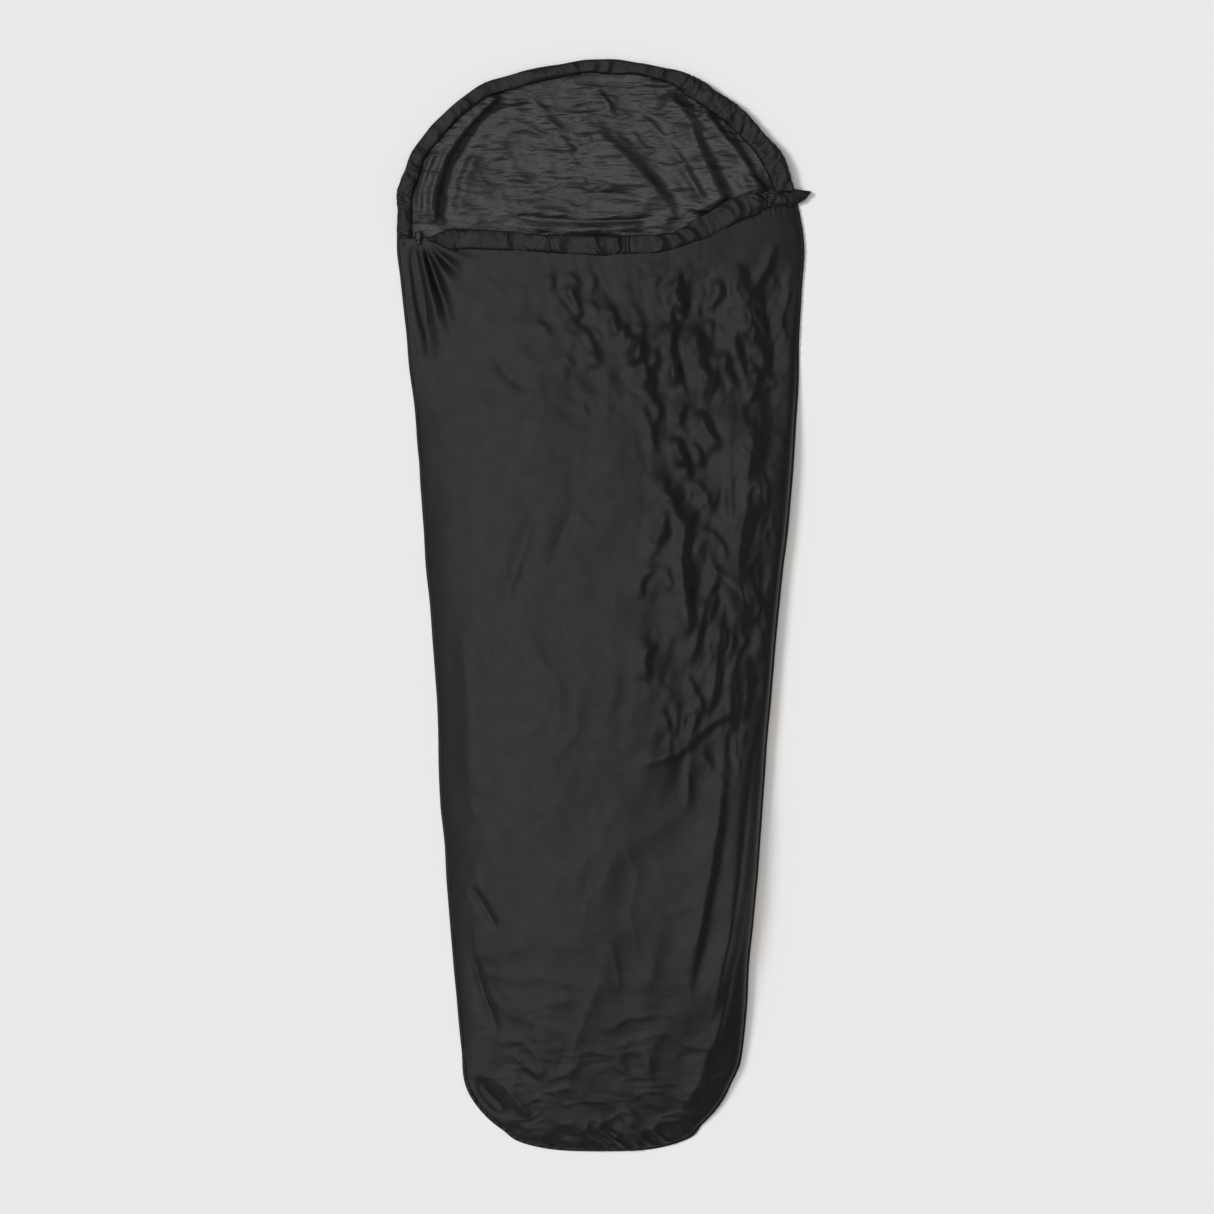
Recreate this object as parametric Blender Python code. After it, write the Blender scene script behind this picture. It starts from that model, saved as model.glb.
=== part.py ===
"""Drawcord bivy sack lying open and face up on the ground.

Metres, +Z up. +Y points to the hood, +X to the wearer's left hand when lying on the back.
The origin is on the ground under the middle of the sack.
"""

import math

import bmesh
import bpy
from mathutils import Vector

# ---------------------------------------------------------------- driving dimensions
LENGTH = 2.20            # crown of the hood to the foot seam
MID_HALF_WIDTH = 0.352   # half of the width at the middle of the length
TAPER = 0.0797           # half width gained per metre towards the shoulders
HOOD_ROUND = 0.44        # length of the rounded hood end
FOOT_ROUND = 0.24        # length of the rounded foot end
HOOD_SHIFT = -0.0120     # the hood lies this far to the side of the centre line

CLOTH = 0.002            # thickness that stands in for one layer of coated fabric
GAP = 0.0003             # between pieces that touch
SEAM_WIDTH = 0.005
SEAM_HEIGHT = 0.0034
PANEL_INSET = 0.0062     # panel edge to the outside of the seam
TAPE_WIDTH = 0.018
TAPE_THICKNESS = 0.0008
TAPE_INSET = 0.0115

LOFT = 0.060             # highest rise of the top panel over its edge
MOUTH_LOFT = 0.026       # rise of the chest edge
MOUTH_EASE = 0.55        # length over which the chest edge rises to the full loft
FOOT_EASE = 0.60         # length over which the loft falls off at the foot
ARCH_POWER = 2.4
SIDE_WALL = 0.012        # the panel stands up at least this much beside its edge

HEM_WIDTH = 0.022        # chest hem, across
HEM_HEIGHT = 0.008
HEM_WALL = 0.001
HEM_LEFT_X = -0.357
HEM_RIGHT_X = 0.366
HEM_Y = 0.739            # middle of the chest hem at its left end
HEM_DIP = 0.012          # the hem bows towards the foot in its middle
HEM_SKEW = 0.083         # how much higher the right end of the hem is sewn
HEM_LOWEST_Z = 0.0085

HINGE_LEFT = Vector((-0.392, 0.755, 0.012))
HINGE_RIGHT = Vector((0.402, 0.847, 0.012))
HOOD_HEM_WIDTH = 0.028
HOOD_RISE = 0.005        # the hood's rim stands up this much
HOOD_RISE_BAND = 0.12    # over this width of fabric
HOOD_LIFT = 0.0003       # the hood's underside above the ground
HOOD_SIDE_GAP = 0.016    # from the neck line to the ends of the hood hem
HOOD_HEM_Z = HOOD_LIFT + HOOD_RISE + CLOTH + GAP + HEM_HEIGHT / 2 + 0.0004
HEM_CORNER = 0.0035      # roundness of the hems' edges

TACK_WIDTH = 0.003       # bar tacks: a dense bar of thread across the end of a hem
TACK_HEIGHT = 0.0012
TACK_REACH = 0.007       # from the middle of the hem to each end of the bar
TACK_FROM_END = 0.012    # of the hem

CORD_RADIUS = 0.0015
LOCK = Vector((-0.373, 0.744, 0.0107))   # where the cord crosses the cord lock
LOCK_RADIUS = 0.008
LOCK_BORE = 0.0046
PLUNGER_RADIUS = 0.0042
BUTTON_RADIUS = 0.0070
CORD_HOLE = 0.0024
SPRING_RADIUS = 0.0026
SPRING_WIRE = 0.0003
SPRING_TURNS = 4

STEPS = 44               # stations from the foot to the crown along each side
COLUMNS = 20             # cells across a panel
ROUND_SEGMENTS = 24

FOOT_TIP_STATION = 0.4   # the panels' last row, close to the foot's tip
FOOT_SEAM_STEPS = 9      # stations on each side of the foot that belong to the foot seam

# The loose end of the drawcord: out of the chest hem, through the lock, down to the floor panel.
TAIL_ROUTE = [
    (-0.3532, 0.7440, 0.0107),
    (-0.3620, 0.7440, 0.0107),
    (-0.3710, 0.7440, 0.0107),
    (-0.3800, 0.7440, 0.0107),
    (-0.3880, 0.7440, 0.0107),
    (-0.3935, 0.7438, 0.0104),
    (-0.3985, 0.7430, 0.0088),
    (-0.4025, 0.7415, 0.0066),
    (-0.4048, 0.7385, 0.0054),
    (-0.4052, 0.7345, 0.0051),
]
KNOT_RADIUS = 0.0033


# ---------------------------------------------------------------- scene helpers
def clear_scene():
    for obj in list(bpy.data.objects):
        bpy.data.objects.remove(obj, do_unlink=True)


def new_material(name, colour, roughness, metallic=0.0):
    material = bpy.data.materials.new(name)
    material.use_nodes = True
    shader = material.node_tree.nodes["Principled BSDF"]
    shader.inputs["Base Color"].default_value = (*colour, 1.0)
    shader.inputs["Roughness"].default_value = roughness
    shader.inputs["Metallic"].default_value = metallic
    return material


def face_outwards(bm):
    bm.normal_update()
    bmesh.ops.recalc_face_normals(bm, faces=bm.faces)
    if bm.calc_volume(signed=True) < 0.0:
        bmesh.ops.reverse_faces(bm, faces=bm.faces)


def add_object(name, bm, material, parent=None, location=(0, 0, 0), smooth=False):
    """A mesh object whose vertices are given in the sack's frame, less its own location."""
    face_outwards(bm)
    mesh = bpy.data.meshes.new(name)
    bm.to_mesh(mesh)
    bm.free()
    if smooth:
        mesh.shade_smooth()
        mesh.set_sharp_from_angle(angle=math.radians(40))
    obj = bpy.data.objects.new(name, mesh)
    obj.location = location
    bpy.context.collection.objects.link(obj)
    mesh.materials.append(material)
    if parent is not None:
        attach(obj, parent)
    return obj


def add_empty(name, location):
    empty = bpy.data.objects.new(name, None)
    empty.location = location
    bpy.context.collection.objects.link(empty)
    return empty


def attach(obj, parent):
    """Parents obj to an unrotated empty without moving it."""
    obj.parent = parent
    obj.location = Vector(obj.location) - Vector(parent.location)


def add_cord(name, points, radius, material, parent=None):
    curve = bpy.data.curves.new(name, "CURVE")
    curve.dimensions = "3D"
    curve.bevel_depth = radius
    curve.bevel_resolution = 2
    curve.use_fill_caps = True
    spline = curve.splines.new("POLY")
    spline.points.add(len(points) - 1)
    for spot, point in zip(spline.points, points):
        spot.co = (*point, 1.0)
    curve.materials.append(material)
    obj = bpy.data.objects.new(name, curve)
    bpy.context.collection.objects.link(obj)
    if parent is not None:
        attach(obj, parent)
    return obj


def cut_away(obj, name, bm):
    """Subtracts the shape in bm, placed like obj, from obj."""
    face_outwards(bm)
    mesh = bpy.data.meshes.new(name)
    bm.to_mesh(mesh)
    bm.free()
    cutter = bpy.data.objects.new(name, mesh)
    cutter.location = obj.location
    cutter.parent = obj.parent
    cutter.hide_render = True
    cutter.display_type = "WIRE"
    bpy.context.collection.objects.link(cutter)
    modifier = obj.modifiers.new(name, "BOOLEAN")
    modifier.operation = "DIFFERENCE"
    modifier.solver = "EXACT"
    modifier.object = cutter


# ---------------------------------------------------------------- small maths
def smooth_step(t):
    t = min(1.0, max(0.0, t))
    return t * t * (3.0 - 2.0 * t)


def round_end(distance, length, power, root):
    """1 along the body, falling to 0 at the tip of a rounded end."""
    t = min(1.0, max(0.0, distance / length))
    return max(0.0, 1.0 - t ** power) ** (1.0 / root)


def catmull_rom(points, per_span):
    """Points on a smooth curve through the given ones."""
    route = [Vector(p) for p in points]
    route = [2 * route[0] - route[1]] + route + [2 * route[-1] - route[-2]]
    curve = []
    for a, b, c, d in zip(route, route[1:], route[2:], route[3:]):
        for k in range(per_span):
            t = k / per_span
            curve.append(0.5 * (2 * b + (c - a) * t + (2 * a - 5 * b + 4 * c - d) * t ** 2
                                + (3 * b - 3 * c + d - a) * t ** 3))
    curve.append(route[-2])
    return curve


# ---------------------------------------------------------------- the sack's outline
def centre_x(y):
    return HOOD_SHIFT * smooth_step((y - 0.30) / 0.45)


def half_width(y, inset=0.0):
    tip = LENGTH / 2 - inset
    line = MID_HALF_WIDTH + TAPER * y - inset
    hood = round_end(y - tip + HOOD_ROUND, HOOD_ROUND, 2.4, 2.2)
    foot = round_end(-y - tip + FOOT_ROUND, FOOT_ROUND, 2.6, 2.6)
    return line * hood * foot


def rim(angle, inset=0.0):
    """A point inside the outline by inset. 0 is the foot's tip, +pi and -pi the crown, + is +X."""
    y = -(LENGTH / 2 - inset) * math.cos(angle)
    side = math.copysign(1.0, angle)
    if abs(abs(angle) - math.pi) < 1e-9 or angle == 0.0:
        side = 0.0
    return Vector((centre_x(y) + side * half_width(y, inset), y, 0.0))


def station(k):
    return math.pi * k / STEPS


# ---------------------------------------------------------------- the neck line
NECK = (HINGE_RIGHT - HINGE_LEFT).normalized()
NECK_UP = Vector((-NECK.y, NECK.x, 0.0))   # in the ground plane, towards the crown


def beyond_neck(point):
    """Distance of a point past the neck line, towards the crown."""
    return (Vector((point.x, point.y, 0.0)) - Vector((HINGE_LEFT.x, HINGE_LEFT.y, 0.0))).dot(NECK_UP)


def rim_angle_at_neck(side, inset, distance):
    """The angle where the inset outline is at the given distance past the neck line."""
    low, high = 0.5 * math.pi, math.pi - 0.05
    for _ in range(40):
        middle = 0.5 * (low + high)
        if beyond_neck(rim(side * middle, inset)) < distance:
            low = middle
        else:
            high = middle
    return side * low


# ---------------------------------------------------------------- mesh builders
def loft_solid(loops):
    """A closed solid through loops of points, with flat ends."""
    bm = bmesh.new()
    rows = [[bm.verts.new(p) for p in loop] for loop in loops]
    count = len(rows[0])
    for a, b in zip(rows, rows[1:]):
        for i in range(count):
            j = (i + 1) % count
            bm.faces.new((a[i], a[j], b[j], b[i]))
    bm.faces.new(rows[0])
    bm.faces.new(rows[-1])
    return bm


def loft_tube(outer, inner):
    """A closed tube wall between outer and inner loops, open at both ends."""
    bm = bmesh.new()
    outside = [[bm.verts.new(p) for p in loop] for loop in outer]
    inside = [[bm.verts.new(p) for p in loop] for loop in inner]
    count = len(outside[0])
    for rows in (outside, inside):
        for a, b in zip(rows, rows[1:]):
            for i in range(count):
                j = (i + 1) % count
                bm.faces.new((a[i], a[j], b[j], b[i]))
    for end in (0, -1):
        for i in range(count):
            j = (i + 1) % count
            bm.faces.new((outside[end][i], outside[end][j], inside[end][j], inside[end][i]))
    return bm


def sheet_solid(upper, lower):
    """A closed sheet between two grids of points of the same size."""
    bm = bmesh.new()
    top = [[bm.verts.new(p) for p in row] for row in upper]
    base = [[bm.verts.new(p) for p in row] for row in lower]
    for grid in (top, base):
        for a, b in zip(grid, grid[1:]):
            for i in range(len(a) - 1):
                bm.faces.new((a[i], a[i + 1], b[i + 1], b[i]))
    edge_top = border(top)
    edge_base = border(base)
    for i in range(len(edge_top)):
        j = (i + 1) % len(edge_top)
        bm.faces.new((edge_top[i], edge_top[j], edge_base[j], edge_base[i]))
    return bm


def border(grid):
    """The verts around a grid, in order."""
    right = [row[-1] for row in grid[1:-1]]
    left = [row[0] for row in reversed(grid[1:-1])]
    return list(grid[0]) + right + list(reversed(grid[-1])) + left


def flat_section(half_across, half_high, corner):
    """A rounded rectangle, as (across, up) pairs around its middle."""
    section = []
    for sx, sy, start in ((1, 1, 0), (-1, 1, 90), (-1, -1, 180), (1, -1, 270)):
        for turn in (0, 45, 90):
            a = math.radians(start + turn)
            section.append((sx * (half_across - corner) + corner * math.cos(a),
                            sy * (half_high - corner) + corner * math.sin(a)))
    return section


def revolve(profile):
    """A solid turned about the Y axis from (radius, y) pairs that start and end on the axis."""
    bm = bmesh.new()
    ends = [bm.verts.new((0.0, y, 0.0)) for y in (profile[0][1], profile[-1][1])]
    rings = []
    for radius, y in profile[1:-1]:
        ring = []
        for k in range(ROUND_SEGMENTS):
            a = 2 * math.pi * k / ROUND_SEGMENTS
            ring.append(bm.verts.new((radius * math.cos(a), y, radius * math.sin(a))))
        rings.append(ring)
    for k in range(ROUND_SEGMENTS):
        n = (k + 1) % ROUND_SEGMENTS
        bm.faces.new((ends[0], rings[0][k], rings[0][n]))
        bm.faces.new((ends[1], rings[-1][n], rings[-1][k]))
        for a, b in zip(rings, rings[1:]):
            bm.faces.new((a[k], b[k], b[n], a[n]))
    return bm


def block(low, high):
    bm = bmesh.new()
    bmesh.ops.create_cube(bm, size=1.0)
    for vert in bm.verts:
        vert.co = Vector([lo if c < 0 else hi for c, lo, hi in zip(vert.co, low, high)])
    return bm


# ---------------------------------------------------------------- panels
def arch_height(x, y, inset, top):
    """Rise of the top panel over its edge at a place, where top is the rise of its middle."""
    across = min(1.0, abs(x - centre_x(y)) / max(1e-6, half_width(y, inset)))
    mouth = smooth_step((y - 0.30) / 0.40)
    arch = 1.0 - across ** ARCH_POWER
    return max(top * arch ** (0.5 + 0.5 * mouth), min(top, SIDE_WALL) * arch ** 0.5)


def loft_at(y):
    """Rise of the middle of the top panel."""
    mouth = smooth_step((HEM_Y - y) / MOUTH_EASE)
    foot = round_end(-y - LENGTH / 2 + FOOT_EASE, FOOT_EASE, 1.6, 1.7)
    return (MOUTH_LOFT + (LOFT - MOUTH_LOFT) * mouth) * foot


def hem_y(x):
    dip = HEM_DIP * (1.0 - smooth_step(abs(x) / 0.28))
    return HEM_Y - dip + HEM_SKEW * smooth_step((x - 0.10) / 0.26)


def panel_grid(inset, extra):
    """Points of the top panel, from its chest edge to the foot."""
    start = 0.45
    last_row = 0.70
    rows = []
    edge = HEM_WIDTH / 2 + 0.0018
    top_station = next(k for k in range(STEPS) if -LENGTH / 2 * math.cos(station(k)) > last_row)
    for k in list(range(top_station, 0, -1)) + [FOOT_TIP_STATION]:
        y_row = -(LENGTH / 2 - inset) * math.cos(station(k))
        row = []
        for c in range(COLUMNS + 1):
            u = math.sin(0.5 * math.pi * (2 * c / COLUMNS - 1))
            y = y_row
            if y > start:
                x = centre_x(y) + u * half_width(y, inset)
                x = max(HEM_LEFT_X, x)
                reach = hem_y(x) - edge / hem_across(x).y
                y_top = -(LENGTH / 2 - inset) * math.cos(station(top_station))
                y = start + (y_row - start) * (reach - start) / (y_top - start)
            x = centre_x(y) + u * half_width(y, inset)
            rise = arch_height(x, y, inset, loft_at(y) + extra)
            if k == FOOT_TIP_STATION:
                rise = 0.0
            row.append(Vector((x, y, CLOTH + GAP + rise)))
        rows.append(row)
    return rows


def make_top_panel(material):
    upper = panel_grid(PANEL_INSET, CLOTH)
    lower = panel_grid(PANEL_INSET + CLOTH, 0.0)
    add_object("top_panel", sheet_solid(upper, lower), material, smooth=True)


def rim_angles(first, last):
    """The stations strictly between two angles, with both angles at the ends."""
    angles = [first]
    for k in range(-STEPS, STEPS + 1):
        if first + 1e-3 < station(k) < last - 1e-3:
            angles.append(station(k))
    return angles + [last]


def make_floor_panel(material):
    left = rim_angle_at_neck(-1, PANEL_INSET, -GAP)
    right = rim_angle_at_neck(1, PANEL_INSET, -GAP)
    outline = [rim(a, PANEL_INSET) for a in rim_angles(left, right)]
    low = [Vector((p.x, p.y, 0.0)) for p in outline]
    high = [Vector((p.x, p.y, CLOTH)) for p in outline]
    add_object("floor_panel", loft_solid([low, high]), material)


def make_hood_panel(material, parent):
    """A shallow dish from the neck line to the rim, under the hood hem."""
    inset = 0.003
    left = rim_angle_at_neck(-1, inset, HOOD_SIDE_GAP)
    right = rim_angle_at_neck(1, inset, HOOD_SIDE_GAP)
    over_crown = [-a for a in rim_angles(-left, math.pi)] + rim_angles(right, math.pi)[-2::-1]
    rows = 9
    upper = []
    for a in over_crown:
        outer = rim(a, inset)
        foot = outer - NECK_UP * (beyond_neck(outer) - 2 * GAP)
        column = []
        for r in range(rows + 1):
            point = foot.lerp(outer, math.sin(0.5 * math.pi * r / rows))
            edge = (outer - point).length
            rise = HOOD_RISE * smooth_step(1.0 - edge / HOOD_RISE_BAND)
            rise *= smooth_step(beyond_neck(point) / HOOD_RISE_BAND)
            column.append(point + Vector((0, 0, HOOD_LIFT + rise + CLOTH)))
        upper.append(column)
    lower = [[p - Vector((0, 0, CLOTH)) for p in column] for column in upper]
    bm = sheet_solid(upper, lower)
    add_hood_object("hood_panel", bm, material, parent, smooth=True)


def add_hood_object(name, bm, material, parent, smooth=False):
    """The hood's pieces have their origins on the neck line."""
    for vert in bm.verts:
        vert.co -= Vector(parent.location)
    add_object(name, bm, material, location=parent.location, parent=parent, smooth=smooth)


# ---------------------------------------------------------------- seams and tapes
def make_rim_bar(name, angles, inset, width, z, height, material):
    """A flat bar that follows the outline."""
    loops = []
    for a in angles:
        outer = rim(a, inset)
        inner = rim(a, inset + width)
        middle = 0.5 * (outer + inner)
        loops.append([
            outer.lerp(middle, 0.3) + Vector((0, 0, z)),
            outer + Vector((0, 0, z + 0.5 * height)),
            outer.lerp(middle, 0.3) + Vector((0, 0, z + height)),
            inner + Vector((0, 0, z + height)),
            inner + Vector((0, 0, z)),
        ])
    add_object(name, loft_solid(loops), material)


def make_seams(seam_material, tape_material):
    half_gap = 0.0006
    foot = station(FOOT_SEAM_STEPS)
    end_left = rim_angle_at_neck(-1, 0.0, -0.002)
    end_right = rim_angle_at_neck(1, 0.0, -0.002)
    tape_left = rim_angle_at_neck(-1, TAPE_INSET, -0.060)
    tape_right = rim_angle_at_neck(1, TAPE_INSET, -0.060)
    runs = {
        "left": (end_left, -foot - half_gap, tape_left),
        "right": (foot + half_gap, end_right, tape_right),
        "foot": (-foot + half_gap, foot - half_gap, None),
    }
    for place, (first, last, tape_end) in runs.items():
        seam = "foot_seam" if place == "foot" else "side_seam_" + place
        make_rim_bar(seam, rim_angles(first, last), 0.0, SEAM_WIDTH, GAP, SEAM_HEIGHT,
                     seam_material)
        if place == "left":
            first = tape_end
        if place == "right":
            last = tape_end
        make_rim_bar("seam_tape_" + place, rim_angles(first, last), TAPE_INSET, TAPE_WIDTH,
                     CLOTH + GAP, TAPE_THICKNESS, tape_material)


def make_neck_seam_tape(material):
    reach = 0.34
    near, far = -0.003, -0.003 - TAPE_WIDTH
    corners = []
    for x, across in ((-reach, far), (reach, far), (reach, near), (-reach, near)):
        along = (x - HINGE_LEFT.x) / NECK.x
        corners.append(Vector((HINGE_LEFT.x, HINGE_LEFT.y, 0)) + NECK * along + NECK_UP * across)
    low = [p + Vector((0, 0, CLOTH + GAP)) for p in corners]
    high = [p + Vector((0, 0, TAPE_THICKNESS)) for p in low]
    add_object("neck_seam_tape", loft_solid([low, high]), material)


# ---------------------------------------------------------------- hems, bar tacks and tab
def hem_point(x):
    """The middle of the chest hem's tunnel."""
    y = hem_y(x)
    rise = arch_height(x, y, PANEL_INSET, MOUTH_LOFT)
    z = max(CLOTH + GAP + rise - 0.5 * CLOTH, HEM_LOWEST_Z)
    return Vector((x, y, z))


def hem_across(x):
    step = 0.001
    along = hem_point(x + step) - hem_point(x - step)
    return Vector((-along.y, along.x, 0.0)).normalized()


def hem_sections(width):
    """The outside and the inside of a hem's tunnel."""
    outer = flat_section(width / 2, HEM_HEIGHT / 2, HEM_CORNER)
    inner = flat_section(width / 2 - HEM_WALL, HEM_HEIGHT / 2 - HEM_WALL, HEM_CORNER - HEM_WALL)
    return outer, inner


def make_chest_hem(material):
    spans = 26
    outer_section, inner_section = hem_sections(HEM_WIDTH)
    loops = {"outer": [], "inner": []}
    for k in range(spans + 1):
        x = HEM_LEFT_X + (HEM_RIGHT_X - HEM_LEFT_X) * k / spans
        middle, across = hem_point(x), hem_across(x)
        for name, section in (("outer", outer_section), ("inner", inner_section)):
            loops[name].append([middle + across * a + Vector((0, 0, z)) for a, z in section])
    add_object("chest_hem", loft_tube(loops["outer"], loops["inner"]), material, smooth=True)


def make_hood_hem(material, parent):
    left = rim_angle_at_neck(-1, 0.0, HOOD_SIDE_GAP)
    right = rim_angle_at_neck(1, 0.0, HOOD_SIDE_GAP)
    over_crown = [-a for a in rim_angles(-left, math.pi)] + rim_angles(right, math.pi)[-2::-1]
    outer_section, inner_section = hem_sections(HOOD_HEM_WIDTH)
    loops = {"outer": [], "inner": []}
    for a in over_crown:
        for name, section in (("outer", outer_section), ("inner", inner_section)):
            loops[name].append([
                rim(a, HOOD_HEM_WIDTH / 2 - across) + Vector((0, 0, HOOD_HEM_Z + up))
                for across, up in section
            ])
    add_hood_object("hood_hem", loft_tube(loops["outer"], loops["inner"]), material, parent,
                    smooth=True)


def make_bar_tack(name, middle, across, top, material, parent=None):
    """A dense bar of stitching across the end of a hem."""
    along = Vector((across.y, -across.x, 0.0))
    section = flat_section(TACK_WIDTH / 2, TACK_HEIGHT / 2, 0.0005)
    loops = []
    for reach in (-TACK_REACH, 0.0, TACK_REACH):
        here = Vector((middle.x, middle.y, top + TACK_HEIGHT / 2)) + across * reach
        loops.append([here + along * a + Vector((0, 0, z)) for a, z in section])
    bm = loft_solid(loops)
    if parent is None:
        add_object(name, bm, material)
    else:
        add_hood_object(name, bm, material, parent)


def make_bar_tacks(material, hood):
    lift = 0.0011   # the hem slopes here, so the flat bar needs more than a gap
    for name, x in (("chest_bar_tack_left", HEM_LEFT_X + TACK_FROM_END),
                    ("chest_bar_tack_right", HEM_RIGHT_X - TACK_FROM_END)):
        middle = hem_point(x)
        make_bar_tack(name, middle, hem_across(x), middle.z + HEM_HEIGHT / 2 + lift, material)
    for name, side in (("hood_bar_tack_left", -1), ("hood_bar_tack_right", 1)):
        angle = rim_angle_at_neck(side, HOOD_HEM_WIDTH / 2, HOOD_SIDE_GAP + TACK_FROM_END)
        middle = rim(angle, HOOD_HEM_WIDTH / 2)
        across = (rim(angle, HOOD_HEM_WIDTH) - rim(angle, 0.0)).normalized()
        make_bar_tack(name, middle, across, HOOD_HEM_Z + HEM_HEIGHT / 2 + GAP, material, hood)


def make_corner_tab(material):
    """The small folded loop sewn into the right end of the mouth."""
    corners = [(0.3875, 0.800), (0.4120, 0.8230), (0.4200, 0.8335), (0.4150, 0.8400),
               (0.3850, 0.8420)]
    z = GAP + SEAM_HEIGHT + GAP
    low = [Vector((x, y, z)) for x, y in corners]
    high = [Vector((x, y, z + 0.003)) for x, y in corners]
    add_object("corner_tab", loft_solid([low, high]), material)


# ---------------------------------------------------------------- drawcord
def make_drawcords(material, hood):
    points = []
    count = 64
    first, last = TAIL_ROUTE[0][0] + GAP, HEM_RIGHT_X - 0.004
    for k in range(count):
        x = first + (last - first) * k / (count - 1)
        point = hem_point(x)
        merge = 1.0 - smooth_step((x - first) / 0.05)
        point.y += merge * (TAIL_ROUTE[0][1] - hem_y(first))
        point.z += merge * (TAIL_ROUTE[0][2] - hem_point(first).z)
        points.append(point)
    add_cord("chest_drawcord", points, CORD_RADIUS, material)

    inset = HOOD_HEM_WIDTH / 2
    left = rim_angle_at_neck(-1, inset, HOOD_SIDE_GAP + 0.004)
    right = rim_angle_at_neck(1, inset, HOOD_SIDE_GAP + 0.004)
    sweep = 2 * math.pi + left - right
    points = []
    for k in range(count):
        angle = left - sweep * k / (count - 1)
        if angle < -math.pi:
            angle += 2 * math.pi
        height = Vector((0, 0, HOOD_HEM_Z))
        points.append(rim(angle, inset) + height - Vector(hood.location))
    cord = add_cord("hood_drawcord", points, CORD_RADIUS, material)
    cord.location = hood.location
    attach(cord, hood)


def make_tail(cord_material, knot_material):
    route = catmull_rom(TAIL_ROUTE, 2)
    add_cord("drawcord_tail", route, CORD_RADIUS, cord_material)
    heading = (route[-1] - route[-2]).normalized()
    bm = bmesh.new()
    bmesh.ops.create_uvsphere(bm, u_segments=16, v_segments=10, radius=KNOT_RADIUS)
    for vert in bm.verts:
        vert.co.y *= 1.15
    middle = route[-1] + heading * (1.15 * KNOT_RADIUS + GAP)
    middle.z = max(middle.z, CLOTH + 2 * GAP + KNOT_RADIUS)
    add_object("cord_end_knot", bm, knot_material, location=middle, smooth=True)


# ---------------------------------------------------------------- cord lock
def cylinder_along_x(radius, length):
    bm = bmesh.new()
    bmesh.ops.create_cone(bm, cap_ends=True, segments=16, radius1=radius, radius2=radius,
                          depth=length)
    for vert in bm.verts:
        vert.co = Vector((vert.co.z, vert.co.x, vert.co.y))
    return bm


def make_cord_lock(lock_material, plunger_material, spring_material):
    """A barrel with a blind bore along Y; the cord crosses it along X."""
    carrier = add_empty("cord_lock_axis", LOCK)
    bore_end = 0.0090
    body = revolve([
        (0.0, 0.0105), (0.0052, 0.0102), (0.0072, 0.0088), (LOCK_RADIUS, 0.0058),
        (LOCK_RADIUS, -0.0050), (0.0073, -0.0072), (0.0060, -0.0080),
        (LOCK_BORE, -0.0080), (LOCK_BORE, bore_end), (0.0, bore_end),
    ])
    barrel = add_object("cord_lock_body", body, lock_material, carrier, LOCK, smooth=True)
    cut_away(barrel, "cord_hole", cylinder_along_x(CORD_HOLE, 4 * LOCK_RADIUS))

    inner_end = 0.0036
    button = revolve([
        (0.0, inner_end), (0.0038, inner_end), (PLUNGER_RADIUS, 0.0032),
        (PLUNGER_RADIUS, -0.0119), (0.0064, -0.0119), (BUTTON_RADIUS, -0.0125),
        (BUTTON_RADIUS, -0.0142), (0.0060, -0.0152), (0.0, -0.0155),
    ])
    plunger = add_object("cord_lock_plunger", button, plunger_material, carrier, LOCK, smooth=True)
    slot_half = CORD_RADIUS + 0.0004
    cut_away(plunger, "cord_slot",
             block((-0.02, -0.0052, -slot_half), (0.02, CORD_RADIUS + GAP, slot_half)))

    first, last = inner_end + 2 * SPRING_WIRE, bore_end - 2 * SPRING_WIRE
    per_turn = 12
    points = []
    for k in range(SPRING_TURNS * per_turn + 1):
        a = 2 * math.pi * k / per_turn
        y = first + (last - first) * k / (SPRING_TURNS * per_turn)
        points.append(Vector((SPRING_RADIUS * math.cos(a), y, SPRING_RADIUS * math.sin(a))))
    spring = add_cord("cord_lock_spring", points, SPRING_WIRE, spring_material)
    spring.location = LOCK
    attach(spring, carrier)


# ---------------------------------------------------------------- the whole sack
def build():
    clear_scene()
    shell = new_material("outer_fabric", (0.030, 0.028, 0.030), 0.55)
    coated = new_material("coated_fabric", (0.040, 0.040, 0.042), 0.50)
    hem = new_material("hem_fabric", (0.034, 0.030, 0.031), 0.60)
    tape = new_material("seam_tape", (0.060, 0.060, 0.062), 0.45)
    cord = new_material("cord", (0.028, 0.028, 0.030), 0.75)
    plastic = new_material("lock_plastic", (0.015, 0.015, 0.016), 0.30)
    button = new_material("button_plastic", (0.018, 0.018, 0.019), 0.35)
    steel = new_material("spring_steel", (0.60, 0.60, 0.60), 0.30, 1.0)

    hood = add_empty("hood_fold_axis", 0.5 * (HINGE_LEFT + HINGE_RIGHT))
    make_floor_panel(coated)
    make_top_panel(shell)
    make_seams(hem, tape)
    make_neck_seam_tape(tape)
    make_chest_hem(hem)
    make_hood_panel(coated, hood)
    make_hood_hem(hem, hood)
    make_bar_tacks(cord, hood)
    make_corner_tab(hem)
    make_drawcords(cord, hood)
    make_tail(cord, cord)
    make_cord_lock(plastic, button, steel)


build()
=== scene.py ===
"""Looks of the drawcord bivy sack: loose black fabric, its coated inside, hems, cord and cord lock.

Everything is in metres in the CAD's frame: +Z up, +Y to the hood's crown, origin on the ground.
"""

import math

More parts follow.
